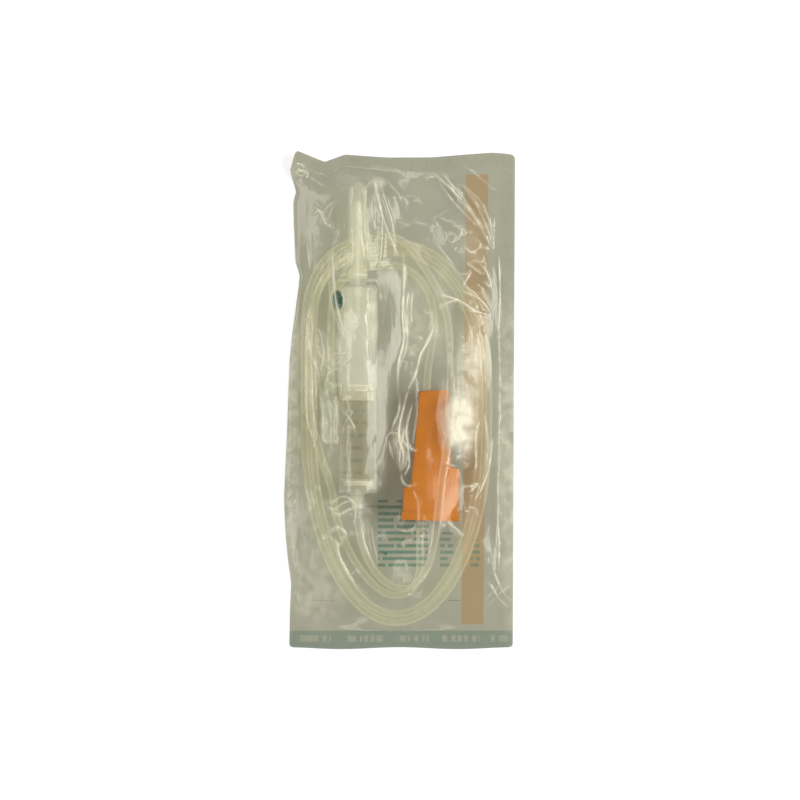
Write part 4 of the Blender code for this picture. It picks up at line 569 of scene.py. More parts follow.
def dots_on_faces():
    """A low pyramid on each face of a surface, for an embossed seal."""
    tree, given, output = new_shape_tree("dots on faces", {
        "Dot": ("Float", 0.0005), "Rise": ("Float", 0.0001), "Unevenness": ("Float", 0.5),
        "Seed": ("Int", 5), "Finish": ("Material", None),
    })
    points = add_node(tree, "GeometryNodeMeshToPoints", {"Mesh": given.outputs["Geometry"]}, mode="FACES")
    least = add_node(
        tree, "ShaderNodeMath", {0: 1.0, 1: given.outputs["Unevenness"]}, operation="SUBTRACT"
    )
    most = add_node(tree, "ShaderNodeMath", {0: 1.0, 1: given.outputs["Unevenness"]}, operation="ADD")
    scale = add_node(
        tree, "FunctionNodeRandomValue",
        {"Seed": given.outputs["Seed"]}, data_type="FLOAT",
    )
    tree.links.new(least.outputs[0], scale.inputs[2])
    tree.links.new(most.outputs[0], scale.inputs[3])
    dot = add_node(
        tree, "GeometryNodeMeshCone",
        {"Vertices": 4, "Radius Bottom": given.outputs["Dot"], "Depth": given.outputs["Rise"]},
        fill_type="NONE",
    )
    dots = add_node(
        tree, "GeometryNodeInstanceOnPoints",
        {"Points": points.outputs[0], "Instance": dot.outputs["Mesh"], "Scale": scale.outputs[1]},
    )
    return finished_tree(tree, [dots.outputs[0]], given, output)


def shaped(name, base, tree, values):
    """The plain mesh that a geometry tree makes of a base mesh."""
    holder = bpy.data.objects.new(name, base)
    bpy.context.scene.collection.objects.link(holder)
    modifier = holder.modifiers.new(tree.name, "NODES")
    modifier.node_group = tree
    for item in tree.interface.items_tree:
        if item.in_out == "INPUT" and item.name in values:
            modifier[item.identifier] = values[item.name]
    return plain_mesh(holder)


def turned_mesh(name, profile, sides):
    """A closed profile of (radius, height) places turned round the Z axis."""
    rings = []
    bm = bmesh.new()
    for radius, height in profile:
        if radius == 0:
            rings.append([bm.verts.new((0, 0, height))] * sides)
            continue
        turns = [2 * math.pi * k / sides for k in range(sides)]
        rings.append([bm.verts.new((radius * math.cos(t), radius * math.sin(t), height)) for t in turns])
    closed = rings[1:] + rings[:1] if profile[0][0] > 0 else rings[1:]
    for low, high in zip(rings, closed):
        for k in range(sides):
            corners = []
            for corner in (low[k], low[(k + 1) % sides], high[(k + 1) % sides], high[k]):
                if corner not in corners:
                    corners.append(corner)
            if len(corners) > 2:
                bm.faces.new(corners)
    return face_outwards(bm, bpy.data.meshes.new(name))


# Finishes


def clear_plastic(name, body, tint, haze, edge, roughness, wave=0.0):
    """A clear moulded plastic: see-through face on, its own colour where it is seen edge on.

    The haze is what it hides face on and the edge what it hides at its outline, so that walls
    read as pale bands; a fine uneven surface breaks up its highlights.
    """
    made, tree, output = new_material(name)
    facing = add_node(tree, "ShaderNodeLayerWeight", {"Blend": 0.5})
    steep = add_node(tree, "ShaderNodeMath", {0: facing.outputs["Facing"], 1: 2.0}, operation="POWER")
    share = add_node(
        tree, "ShaderNodeMath", {0: steep.outputs[0], 1: edge - haze, 2: haze}, operation="MULTIPLY_ADD"
    )
    lit = add_node(
        tree, "ShaderNodeMath",
        {0: add_node(tree, "ShaderNodeLightPath").outputs["Is Shadow Ray"], 1: SHADE_KEPT - 1, 2: 1.0},
        operation="MULTIPLY_ADD",
    )
    share = add_node(tree, "ShaderNodeMath", {0: share.outputs[0], 1: lit.outputs[0]}, operation="MULTIPLY")
    # An uneven surface, with waves of about 2 mm.
    place = add_node(tree, "ShaderNodeTexCoord")
    waves = add_node(
        tree, "ShaderNodeTexNoise",
        {"Vector": place.outputs["Object"], "Scale": 420.0, "Detail": 3.0, "Roughness": 0.6},
    )
    bump = add_node(
        tree, "ShaderNodeBump", {"Strength": wave, "Distance": 0.0004, "Height": waves.outputs["Fac"]}
    )
    solid = add_node(
        tree, "ShaderNodeBsdfPrincipled",
        {"Base Color": body, "Roughness": roughness, "IOR": 1.5, "Normal": bump.outputs["Normal"]},
    )
    through = add_node(tree, "ShaderNodeBsdfTransparent", {"Color": tint})
    mixed = add_node(
        tree, "ShaderNodeMixShader", {0: share.outputs[0], 1: through.outputs[0], 2: solid.outputs[0]}
    )
    tree.links.new(mixed.outputs[0], output.inputs["Surface"])
    return made


def opaque_plastic(name, colour, shade, roughness, grain=900.0, depth=0.15):
    """A moulded plastic: satin, with the faint cloudiness of its pigment and a fine moulded texture.

    The shade is how much darker its cloudy places are.
    """
    made, tree, output = new_material(name)
    darker = (*[channel * shade for channel in tuple(colour)[:3]], 1.0)
    place = add_node(tree, "ShaderNodeTexCoord")
    cloud = add_node(
        tree, "ShaderNodeTexNoise",
        {"Vector": place.outputs["Object"], "Scale": 90.0, "Detail": 4.0, "Roughness": 0.55},
    )
    colours = add_node(tree, "ShaderNodeValToRGB", {"Fac": cloud.outputs["Fac"]})
    colours.color_ramp.elements[0].position = 0.3
    colours.color_ramp.elements[0].color = darker
    colours.color_ramp.elements[1].position = 0.7
    colours.color_ramp.elements[1].color = colour
    # A moulded texture of about 1 mm.
    texture = add_node(
        tree, "ShaderNodeTexNoise",
        {"Vector": place.outputs["Object"], "Scale": grain, "Detail": 2.0, "Roughness": 0.5},
    )
    bump = add_node(
        tree, "ShaderNodeBump", {"Strength": depth, "Distance": 0.0001, "Height": texture.outputs["Fac"]}
    )
    shader = add_node(
        tree, "ShaderNodeBsdfPrincipled",
        {
            "Base Color": colours.outputs["Color"], "Roughness": roughness, "IOR": 1.5,
            "Normal": bump.outputs["Normal"],
        },
    )
    tree.links.new(shader.outputs[0], output.inputs["Surface"])
    return made


def frosted_closure(name, colour, middle, reach):
    """A closure under frosted plastic: its colour gathers in the middle and fades to its edge."""
    made, tree, output = new_material(name)
    place = add_node(tree, "ShaderNodeTexCoord")
    near = add_node(
        tree, "ShaderNodeMapping",
        {"Vector": place.outputs["Object"], "Location": middle, "Scale": reach}, vector_type="TEXTURE",
    )
    away = add_node(tree, "ShaderNodeVectorMath", {0: near.outputs[0]}, operation="LENGTH")
    cover = add_node(
        tree, "ShaderNodeMapRange",
        {"Value": away.outputs["Value"], "From Min": 0.3, "From Max": 1.0, "To Min": 0.84, "To Max": 0.0},
        interpolation_type="SMOOTHSTEP",
    )
    solid = add_node(
        tree, "ShaderNodeBsdfPrincipled", {"Base Color": colour, "Roughness": 0.7, "IOR": 1.5}
    )
    through = add_node(tree, "ShaderNodeBsdfTransparent", {"Color": linear("#f4f7f2")})
    mixed = add_node(
        tree, "ShaderNodeMixShader", {0: cover.outputs["Result"], 1: through.outputs[0], 2: solid.outputs[0]}
    )
    tree.links.new(mixed.outputs[0], output.inputs["Surface"])
    return made


def box_mask(tree, place, low, high):
    """1 where the flat place lies between the two corners, given in metres."""
    parts = add_node(tree, "ShaderNodeSeparateXYZ", {0: place})
    masks = []
    for axis in (0, 1):
        middle, half = (low[axis] + high[axis]) / 2, (high[axis] - low[axis]) / 2
        away = add_node(
            tree, "ShaderNodeMath", {0: parts.outputs[axis], 1: middle}, operation="SUBTRACT"
        )
        away = add_node(tree, "ShaderNodeMath", {0: away.outputs[0]}, operation="ABSOLUTE")
        masks.append(
            add_node(tree, "ShaderNodeMath", {0: away.outputs[0], 1: half}, operation="LESS_THAN")
        )
    both = add_node(
        tree, "ShaderNodeMath", {0: masks[0].outputs[0], 1: masks[1].outputs[0]}, operation="MULTIPLY"
    )
    return both.outputs[0]


def bar_rows(tree, place, pitch, share, word, cut, seed):
    """Rows of bars of uneven length: a generic stand-in for printed rows.

    The rows' pitch and the least length of a bar are in metres. The share is how much of a row is
    inked, and the cut how many bars are left out.
    """
    parts = add_node(tree, "ShaderNodeSeparateXYZ", {0: place})
    row = add_node(tree, "ShaderNodeMath", {0: parts.outputs["Y"], 1: pitch}, operation="DIVIDE")
    inside = add_node(tree, "ShaderNodeMath", {0: row.outputs[0]}, operation="FRACT")
    off = add_node(tree, "ShaderNodeMath", {0: inside.outputs[0], 1: share / 2}, operation="SUBTRACT")
    off = add_node(tree, "ShaderNodeMath", {0: off.outputs[0]}, operation="ABSOLUTE")
    line = add_node(
        tree, "ShaderNodeMapRange",
        {
            "Value": off.outputs[0], "From Min": 0.25 * share, "From Max": 0.65 * share,
            "To Min": 1.0, "To Max": 0.0,
        },
        interpolation_type="SMOOTHSTEP",
    )
    number = add_node(tree, "ShaderNodeMath", {0: row.outputs[0]}, operation="FLOOR")
    along = add_node(tree, "ShaderNodeMath", {0: parts.outputs["X"], 1: word}, operation="DIVIDE")
    spot = add_node(tree, "ShaderNodeCombineXYZ", {"X": along.outputs[0], "Y": number.outputs[0], "Z": seed})
    snapped = add_node(tree, "ShaderNodeVectorMath", {0: spot.outputs[0]}, operation="FLOOR")
    noise = add_node(tree, "ShaderNodeTexWhiteNoise", {"Vector": snapped.outputs[0]}, noise_dimensions="3D")
    kept = add_node(tree, "ShaderNodeMath", {0: noise.outputs["Value"], 1: cut}, operation="GREATER_THAN")
    upright = add_node(tree, "ShaderNodeMapping", {"Vector": place, "Scale": (1.0, 0.3, 0.0)})
    stroke = add_node(
        tree, "ShaderNodeTexNoise", {"Vector": upright.outputs[0], "Scale": 1300.0, "Detail": 1.0}
    )
    inked = add_node(
        tree, "ShaderNodeMapRange",
        {"Value": stroke.outputs["Fac"], "From Min": 0.35, "From Max": 0.65, "To Min": 0.75, "To Max": 1.05},
    )
    bars = add_node(
        tree, "ShaderNodeMath", {0: line.outputs[0], 1: kept.outputs[0]}, operation="MULTIPLY"
    )
    bars = add_node(
        tree, "ShaderNodeMath", {0: bars.outputs[0], 1: inked.outputs[0]}, operation="MULTIPLY"
    )
    return bars.outputs[0]


def printed_paper(name, paper, ink, band_ink, stripe, strength):
    """Coated kraft paper, gravure printed: matt, with soft cloudy fibre and flat ink in bars and bands."""
    made, tree, output = new_material(name)
    shade = (*[channel * 0.9 for channel in tuple(paper)[:3]], 1.0)
    place = add_node(tree, "ShaderNodeTexCoord").outputs["Object"]
    cloud = add_node(
        tree, "ShaderNodeTexNoise", {"Vector": place, "Scale": 26.0, "Detail": 5.0, "Roughness": 0.6}
    )
    # Fibres of about 1 mm.
    fibre = add_node(
        tree, "ShaderNodeTexNoise", {"Vector": place, "Scale": 1100.0, "Detail": 3.0, "Roughness": 0.7}
    )
    tones = add_node(tree, "ShaderNodeValToRGB", {"Fac": cloud.outputs["Fac"]})
    tones.color_ramp.elements[0].position = 0.35
    tones.color_ramp.elements[0].color = shade
    tones.color_ramp.elements[1].position = 0.65
    tones.color_ramp.elements[1].color = paper
    colour = tones.outputs["Color"]

    def print_on(colour, mask, ink_colour, cover):
        wet = add_node(tree, "ShaderNodeMath", {0: mask, 1: cover * strength}, operation="MULTIPLY")
        mixed = add_node(
            tree, "ShaderNodeMix", {"Factor": wet.outputs[0], "A": colour, "B": ink_colour},
            data_type="RGBA",
        )
        return mixed.outputs["Result"]

    turned = add_node(
        tree, "ShaderNodeMapping", {"Vector": place, "Rotation": (0, 0, STRIPE_TILT)}
    ).outputs[0]
    colour = print_on(colour, box_mask(tree, turned, *STRIPE_BOX), stripe, 0.9)
    colour = print_on(colour, box_mask(tree, place, *BAND_BOX), band_ink, 0.70)

    # Groups of pale bars in the band, 25.5 mm apart.
    group = add_node(tree, "ShaderNodeSeparateXYZ", {0: place})
    for operation, operands in (
        ("DIVIDE", {1: 0.0255}), ("ADD", {1: 0.12}), ("FRACT", {}), ("LESS_THAN", {1: 0.78}),
    ):
        group = add_node(tree, "ShaderNodeMath", {0: group.outputs[0], **operands}, operation=operation)
    shapes = add_node(
        tree, "ShaderNodeMath",
        {0: box_mask(tree, place, *BAND_BARS_BOX), 1: bar_rows(tree, place, 0.0500, 1.0, 0.0011, 0.42, 3.0)},
        operation="MULTIPLY",
    )
    shapes = add_node(
        tree, "ShaderNodeMath", {0: shapes.outputs[0], 1: group.outputs[0]}, operation="MULTIPLY"
    )
    colour = print_on(colour, shapes.outputs[0], paper, 0.85)

    rows = {
        "narrow": bar_rows(tree, place, 0.0034, 0.56, 0.0015, 0.16, 1.0),
        "wide": bar_rows(tree, place, 0.0066, 0.30, 0.0020, 0.35, 7.0),
    }
    for kind, cover, low, high in BAR_BLOCKS:
        text = add_node(
            tree, "ShaderNodeMath", {0: box_mask(tree, place, low, high), 1: rows[kind]}, operation="MULTIPLY"
        )
        colour = print_on(colour, text.outputs[0], ink, cover)
    for low, high in RULES:
        colour = print_on(colour, box_mask(tree, place, low, high), linear("#5d6258"), 0.6)
    for low, high in MARKS:
        colour = print_on(colour, box_mask(tree, place, low, high), linear("#2f6a52"), 0.8)

    bump = add_node(
        tree, "ShaderNodeBump", {"Strength": 0.25, "Distance": 0.00005, "Height": fibre.outputs["Fac"]}
    )
    shader = add_node(
        tree, "ShaderNodeBsdfPrincipled",
        {"Base Color": colour, "Roughness": 0.55, "IOR": 1.45, "Normal": bump.outputs["Normal"]},
    )
    tree.links.new(shader.outputs[0], output.inputs["Surface"])
    return made


def clear_film(name, sheen, sharp, soft, mirror_share, haze, white_strength):
    """Laminated polyester and polyethylene film: clear and glossy, with a trace of milkiness.

    Its folds mirror the lamps in sharp thin lines, its finely crumpled flats as a soft glow.
    Where its mesh's white attribute is high, it is painted white: partly milkiness, partly painted
    highlights.
    """
    made, tree, output = new_material(name)
    facing = add_node(tree, "ShaderNodeLayerWeight", {"Blend": 0.5})
    steep = add_node(tree, "ShaderNodeMath", {0: facing.outputs["Facing"], 1: 5.0}, operation="POWER")
    mirror = add_node(
        tree, "ShaderNodeMath", {0: steep.outputs[0], 1: 0.9, 2: mirror_share}, operation="MULTIPLY_ADD"
    )
    place = add_node(tree, "ShaderNodeTexCoord")
    long = add_node(
        tree, "ShaderNodeMapping", {"Vector": place.outputs["Object"], "Scale": (1.0, 0.4, 0.2)}
    )
    cockle = add_node(
        tree, "ShaderNodeTexNoise",
        {"Vector": long.outputs[0], "Scale": 520.0, "Detail": 3.0, "Roughness": 0.55},
    )
    whiteness = add_node(tree, "ShaderNodeAttribute", attribute_name="white_and_sheen", attribute_type="GEOMETRY")
    crumple = add_node(
        tree, "ShaderNodeTexVoronoi", {"Vector": long.outputs[0], "Scale": 480.0, "Randomness": 1.0}
    )
    height = add_node(
        tree, "ShaderNodeMath", {0: crumple.outputs["Distance"], 1: whiteness.outputs["Fac"]},
        operation="MULTIPLY",
    )
    height = add_node(
        tree, "ShaderNodeMath", {0: height.outputs[0], 1: cockle.outputs["Fac"]}, operation="ADD"
    )
    # Cockles and facets of 2 mm: the real ones are finer, and would not show.
    bump = add_node(
        tree, "ShaderNodeBump", {"Strength": 0.6, "Distance": 0.00022, "Height": height.outputs[0]}
    )
    lobes = [
        add_node(
            tree, "ShaderNodeBsdfGlossy",
            {"Color": sheen, "Roughness": roughness, "Normal": bump.outputs["Normal"]},
        )
        for roughness in (sharp, soft)
    ]
    shine = add_node(
        tree, "ShaderNodeMixShader", {0: 0.38, 1: lobes[0].outputs[0], 2: lobes[1].outputs[0]}
    )
    through = add_node(tree, "ShaderNodeBsdfTransparent", {"Color": linear("#fbfcf9")})
    clear = add_node(
        tree, "ShaderNodeMixShader", {0: mirror.outputs[0], 1: through.outputs[0], 2: shine.outputs[0]}
    )
    # A white diffuse layer: the film's milkiness, and painted highlights where the white attribute is high.
    milk_and_sheen = add_node(
        tree, "ShaderNodeBsdfDiffuse", {"Color": linear("#f7f0d8"), "Normal": bump.outputs["Normal"]}
    )
    cover = add_node(
        tree, "ShaderNodeMath", {0: whiteness.outputs["Fac"], 1: white_strength, 2: haze}, operation="MULTIPLY_ADD"
    )
    mixed = add_node(
        tree, "ShaderNodeMixShader", {0: cover.outputs[0], 1: clear.outputs[0], 2: milk_and_sheen.outputs[0]}
    )
    tree.links.new(mixed.outputs[0], output.inputs["Surface"])
    return made


# Lines


def smooth_line(places, spacing):
    """Points at even steps along a smooth curve through the places."""
    knots = [np.array(place, float) for place in places]
    knots = [2 * knots[0] - knots[1], *knots, 2 * knots[-1] - knots[-2]]
    fine = []
    for a, b, c, d in zip(knots, knots[1:], knots[2:], knots[3:]):
        for t in np.linspace(0, 1, 12, endpoint=False):
            bend = (2 * a - 5 * b + 4 * c - d) * t**2 + (3 * b - a - 3 * c + d) * t**3
            fine.append(0.5 * (2 * b + (c - a) * t + bend))
    fine = np.array(fine + [knots[-2]])
    reached = np.concatenate([[0], np.cumsum(np.linalg.norm(np.diff(fine, axis=0), axis=1))])
    count = max(2, round(reached[-1] / spacing) + 1)
    wanted = np.linspace(0, reached[-1], count)
    return np.stack([np.interp(wanted, reached, fine[:, k]) for k in range(3)], axis=1)


def tube_mesh(name, line, outer, inner, around=16):
    """A tube with a bore along a line, closed at its ends by its wall."""
    line = np.array(line)
    ahead = np.gradient(line, axis=0)
    ahead /= np.linalg.norm(ahead, axis=1)[:, None]
    side = np.cross(ahead, (0, 0, 1.0))
    side /= np.linalg.norm(side, axis=1)[:, None]
    up = np.cross(side, ahead)
    turns = np.linspace(0, 2 * math.pi, around, endpoint=False)
    spokes = np.cos(turns)[None, :, None] * side[:, None, :] + np.sin(turns)[None, :, None] * up[:, None, :]
    shells = [line[:, None, :] + radius * spokes for radius in (outer, inner)]
    count = len(line)
    places = np.concatenate([shell.reshape(-1, 3) for shell in shells])
    offset = count * around
    faces = []
    for k in range(count - 1):
        for j in range(around):
            n = (j + 1) % around
            a, b, c, d = k * around + j, k * around + n, (k + 1) * around + n, (k + 1) * around + j
            faces.append((a, d, c, b))
            faces.append((offset + a, offset + b, offset + c, offset + d))
    last = (count - 1) * around
    for j in range(around):
        n = (j + 1) % around
        faces.append((j, n, offset + n, offset + j))
        faces.append((last + j, offset + last + j, offset + last + n, last + n))
    mesh = bpy.data.meshes.new(name)
    mesh.from_pydata(places.tolist(), [], faces)
    bm = bmesh.new()
    bm.from_mesh(mesh)
    return face_outwards(bm, mesh)


# The pouch's outline


def left_edge(y):
    """The pouch's left edge at a height."""
    return np.interp(y, [place for place, _ in LEFT_EDGE], [edge for _, edge in LEFT_EDGE])


def right_edge(y):
    """Its right edge at a height: straight, and leaning by a trace."""
    return POUCH_WIDTH / 2 - 0.0006 * (1 - 2 * y / POUCH_LENGTH)


def top_edge(x):
    """Its top edge at a place across it."""
    return np.interp(x, [place for place, _ in TOP_EDGE], [edge for _, edge in TOP_EDGE])


def bottom_edge(x):
    """Its bottom edge at a place across it, with a trace of a wave."""
    return -POUCH_LENGTH / 2 + 0.0005 * (1 + np.cos(4 * math.pi * x / POUCH_WIDTH))


def pouch_grid(columns, rows):
    """Places over the whole pouch, row by row from the bottom, and the shares across and along."""
    u, v = np.meshgrid(np.linspace(0, 1, columns), np.linspace(0, 1, rows))
    y = (v - 0.5) * POUCH_LENGTH
    x = left_edge(y) + u * (right_edge(y) - left_edge(y))
    y = bottom_edge(x) + v * (top_edge(x) - bottom_edge(x))
    in_x = np.minimum(u, 1 - u) * POUCH_WIDTH
    in_y = np.minimum(v, 1 - v) * POUCH_LENGTH
    pull = np.maximum(CORNER_RADIUS - np.maximum(in_x, in_y), 0) * 0.3
    x = x + np.where(u < 0.5, pull, -pull)
    y = y + np.where(v < 0.5, pull, -pull)
    return x, y, u, v


def corner_rise(x, y):
    """How far the bent top left corner stands off the table."""
    beyond = (CORNER_FOLD - (x + POUCH_WIDTH / 2) - (POUCH_LENGTH / 2 - y)) / CORNER_FOLD
    t = np.clip(beyond, 0, 1)
    return CORNER_LIFT * t * t * (3 - 2 * t)


def grid_corners(rows, columns):
    """The four corners of each face of a grid, anticlockwise from the lower left."""
    j, i = np.meshgrid(np.arange(rows - 1), np.arange(columns - 1), indexing="ij")
    a = (j * columns + i).ravel()
    return a, a + 1, a + columns + 1, a + columns


def grid_sheet(name, x, y, lower, thickness):
    """A closed thin shell over a grid of places."""
    rows, columns = x.shape
    under = np.stack([x, y, lower], axis=-1).reshape(-1, 3)
    over = np.stack([x, y, lower + thickness], axis=-1).reshape(-1, 3)
    count = rows * columns
    a, b, c, d = grid_corners(rows, columns)
    faces = np.concatenate([np.stack([a, d, c, b], 1), np.stack([a, b, c, d], 1) + count])
    rim = [i for i in range(columns)] + [j * columns + columns - 1 for j in range(1, rows)]
    rim += [(rows - 1) * columns + i for i in range(columns - 2, -1, -1)]
    rim += [j * columns for j in range(rows - 2, 0, -1)]
    walls = np.array([(p, q, q + count, p + count) for p, q in zip(rim, rim[1:] + rim[:1])])
    mesh = bpy.data.meshes.new(name)
    mesh.from_pydata(np.concatenate([under, over]).tolist(), [], np.concatenate([faces, walls]).tolist())
    mesh.validate()
    return mesh


def open_sheet(name, x, y, z):
    """A film's upper face over a grid of places."""
    places = np.stack([x, y, z], axis=-1).reshape(-1, 3)
    faces = np.stack(grid_corners(*x.shape), 1)
    mesh = bpy.data.meshes.new(name)
    mesh.from_pydata(places.tolist(), [], faces.tolist())
    return mesh


# Sizes and colours


def colour_setting(name, description, code):
    """A colour that a user may change, from its sRGB code."""
    return FloatVectorProperty(
        name=name, description=description, default=linear(code), subtype="COLOR", size=4, min=0.0, max=1.0
    )


class StageSettings(bpy.types.PropertyGroup):
    """The floor, lamps and camera."""

    light: FloatProperty(
        name="Light", description="Strength of all the lamps together", default=1.0, min=0.0
    )
    world: FloatProperty(name="Sky", description="Strength of the even grey light", default=0.18, min=0.0)
    distance: FloatProperty(
        name="Distance", description="How high the camera stands", default=1.6,
        unit="LENGTH", subtype="DISTANCE",
    )
    table: colour_setting("Table", "Colour of the table", "#e8e8e8")


class ChamberSettings(bpy.types.PropertyGroup):
    """The spike, its cap and the drip chamber."""

    rigid: colour_setting("Rigid", "Colour of the spike and the upper chamber", "#f4f1e6")
    cap: colour_setting("Cap", "Colour of the spike's cap", "#f3efe3")
    soft: colour_setting("Soft", "Colour of the soft lower chamber", "#e7e3d6")
    vent: colour_setting("Vent", "Colour of the air vent's lid", "#1f5f4c")


class ClampSettings(bpy.types.PropertyGroup):
    """The roller clamp."""

    body: colour_setting("Body", "Colour of the clamp", "#cd7602")
    wheel: colour_setting("Wheel", "Colour of the wheel", "#e4e4dc")
    rounding: FloatProperty(
        name="Rounding", description="Radius of the clamp's edges", default=0.0003,
        unit="LENGTH", subtype="DISTANCE",
    )
    teeth: IntProperty(name="Teeth", description="How many teeth the wheel has", default=30, min=8)


class ConnectorSettings(bpy.types.PropertyGroup):
    """The connector, its collar and its cap."""

    clear: colour_setting("Clear", "Colour of the connector", "#d9dbcf")
    frosted: colour_setting("Frosted", "Colour of the cap", "#dfe0d6")
    ribs: IntProperty(name="Ribs", description="How many grip ribs the collar has", default=16, min=4)


class TubeSettings(bpy.types.PropertyGroup):
    """The infusion tube."""

    diameter: FloatProperty(
        name="Outside", description="The tube's outer diameter", default=TUBE_DIAMETER,
        unit="LENGTH", subtype="DISTANCE",
    )
    bore: FloatProperty(
        name="Bore", description="The tube's inner diameter", default=TUBE_BORE,
        unit="LENGTH", subtype="DISTANCE",
    )
    pitch: FloatProperty(
        name="Pitch", description="From one turn to the next", default=0.0045,
        unit="LENGTH", subtype="DISTANCE",
    )
    wall: colour_setting("Wall", "Colour of the tube's wall", "#f7f0e4")


class PouchSettings(bpy.types.PropertyGroup):
    """The pouch's two webs."""

    cell_across: FloatProperty(
        name="Cell across", description="Film mesh size across", default=0.00043,
        unit="LENGTH", subtype="DISTANCE",
    )
    cell_along: FloatProperty(
        name="Cell along", description="Film mesh size along", default=0.00078,
        unit="LENGTH", subtype="DISTANCE",
    )
    puff: FloatProperty(
        name="Puff", description="How strongly the air inside domes the film, as a factor", default=2.2
    )
    room: FloatProperty(
        name="Room", description="How far the film may rise above the solid's", default=0.0010,
        unit="LENGTH", subtype="DISTANCE",
    )
    crumple: FloatProperty(
        name="Crumple", description="How strongly the film is crumpled, as a factor", default=1.0, min=0.0
    )
    seed: IntProperty(name="Seed", description="Which random facets the film has", default=7)
    paper: colour_setting("Paper", "Colour of the paper, inside", "#a4a291")
    printed: colour_setting("Printed side", "Colour of the paper, outside", "#c9c8b4")
    ink: colour_setting("Ink", "Colour of the green print seen from inside", "#4f7766")
    band: colour_setting("Band", "Colour of the band at the lower end", "#6e8175")
    stripe: colour_setting("Stripe", "Colour of the tan stripe", "#a5895f")


def operator_result(context):
    """Brings the scene up to date and says that the step is done."""
    context.view_layer.update()
    return {"FINISHED"}


class INFUSION_OT_stage(bpy.types.Operator):
    """Adds the white floor, the soft lamps and the camera"""

    bl_idname = "infusion.stage"
    bl_label = "Stage"

    def execute(self, context):
        settings = context.scene.infusion_stage
        scene = context.scene
        scene.view_settings.view_transform = "Standard"
        scene.cycles.transparent_max_bounces = 32
        floor_mesh = bpy.data.meshes.new("floor")
        sides = ((-1, -1), (1, -1), (1, 1), (-1, 1))
        corners = [(x * FLOOR_REACH, y * FLOOR_REACH, -0.0001) for x, y in sides]
        floor_mesh.from_pydata(corners, [], [(0, 1, 2, 3)])
        floor = bpy.data.objects.new("floor", floor_mesh)
        scene.collection.objects.link(floor)
        made, tree, output = new_material("white table")
        path = add_node(tree, "ShaderNodeLightPath")
        seen = path.outputs["Is Camera Ray"]
        for kind in ("Is Glossy Ray", "Is Transmission Ray"):
            seen = add_node(
                tree, "ShaderNodeMath", {0: seen, 1: path.outputs[kind]}, operation="MAXIMUM"
            ).outputs[0]
        table = add_node(tree, "ShaderNodeBsdfDiffuse", {"Color": settings.table})
        pale = add_node(tree, "ShaderNodeBsdfDiffuse", {"Color": linear("#b0b0b0")})
        glow = add_node(tree, "ShaderNodeEmission", {"Color": (1, 1, 1, 1), "Strength": 0.62})
        bright = add_node(tree, "ShaderNodeAddShader", {0: pale.outputs[0], 1: glow.outputs[0]})
        mixed = add_node(
            tree, "ShaderNodeMixShader", {0: seen, 1: table.outputs[0], 2: bright.outputs[0]}
        )
        tree.links.new(mixed.outputs[0], output.inputs["Surface"])
        floor_mesh.materials.append(made)
        floor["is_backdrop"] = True

        world = bpy.data.worlds.new("soft grey sky")
        world.use_nodes = True
        world.node_tree.nodes["Background"].inputs["Color"].default_value = (1, 1, 1, 1)
        world.node_tree.nodes["Background"].inputs["Strength"].default_value = settings.world
        scene.world = world

        # Softboxes: name, how far they lean from upright and which way, width, height, power.
        boxes = [
            ("key_right", 54, 4, 1.15, 0.62, 20.5),
            ("fill_left", 48, 174, 1.20, 0.50, 10.0),
            ("strip_top", 40, 84, 0.80, 0.26, 4.0),
            ("strip_bottom", 56, 262, 0.80, 0.25, 3.0),
        ]
        for name, lean, towards, width, height, power in boxes:
            lamp = bpy.data.lights.new(name, "AREA")
            lamp.shape = "RECTANGLE"
            lamp.size = width
            lamp.size_y = height
            lamp.energy = power * settings.light
            made = bpy.data.objects.new(name, lamp)
            lean, towards = math.radians(lean), math.radians(towards)
            place = LAMP_DISTANCE * Vector((
                math.sin(lean) * math.cos(towards), math.sin(lean) * math.sin(towards), math.cos(lean),
            ))
            facing = place.to_track_quat("Z", "Y").to_matrix().to_4x4()
            made.matrix_world = Matrix.Translation(place) @ facing
            scene.collection.objects.link(made)

        camera = bpy.data.cameras.new("camera")
        camera.sensor_width = 36.0
        camera.lens = camera.sensor_width * settings.distance / VIEW_WIDTH
        camera.clip_start = 0.01
        made = bpy.data.objects.new("camera", camera)
        made.location = (HALF_PIXEL, 0.0, settings.distance)
        scene.collection.objects.link(made)
        scene.camera = made
        return operator_result(context)


def clamp_half(y):
    """Half the clamp's width across, at a height above its rim."""
    share = (CLAMP_LENGTH - y) / (CLAMP_LENGTH - CLAMP_SHOULDER)
    return CLAMP_TOP_HALF + (CLAMP_WAIST_HALF - CLAMP_TOP_HALF) * share


def wheel_place():
    """Where the wheel's middle is at rest across the clamp: over the tube on the clamp's floor."""
    return -clamp_half(ROLLER_PLACE) + CLAMP_FLOOR + 2 * SEAT_GAP + TUBE_DIAMETER + ROLLER_RADIUS


def tube_in_clamp_line(radius):
    """Where the tube's middle runs in the clamp, from below its duct to above its channel."""
    stand_off = SEAT_GAP + radius

    def floor_face(y):
        return -clamp_half(y) + CLAMP_FLOOR

    duct_x = floor_face(CHANNEL_START) + DUCT_WIDTH / 2
    local = [(duct_x, -0.0012), (duct_x, CHANNEL_START * 0.35)]
    local.append((floor_face(CHANNEL_START) + stand_off + 0.0002, CHANNEL_START + 0.004))
    local += [(floor_face(y) + stand_off, y) for y in (0.0450, 0.0560)]
    local.append((floor_face(CLAMP_LENGTH) + stand_off, CLAMP_LENGTH + 0.0012))
    return smooth_line([tuple(CLAMP_FRAME @ Vector((x, y, 0))) for x, y in local], 0.0010)


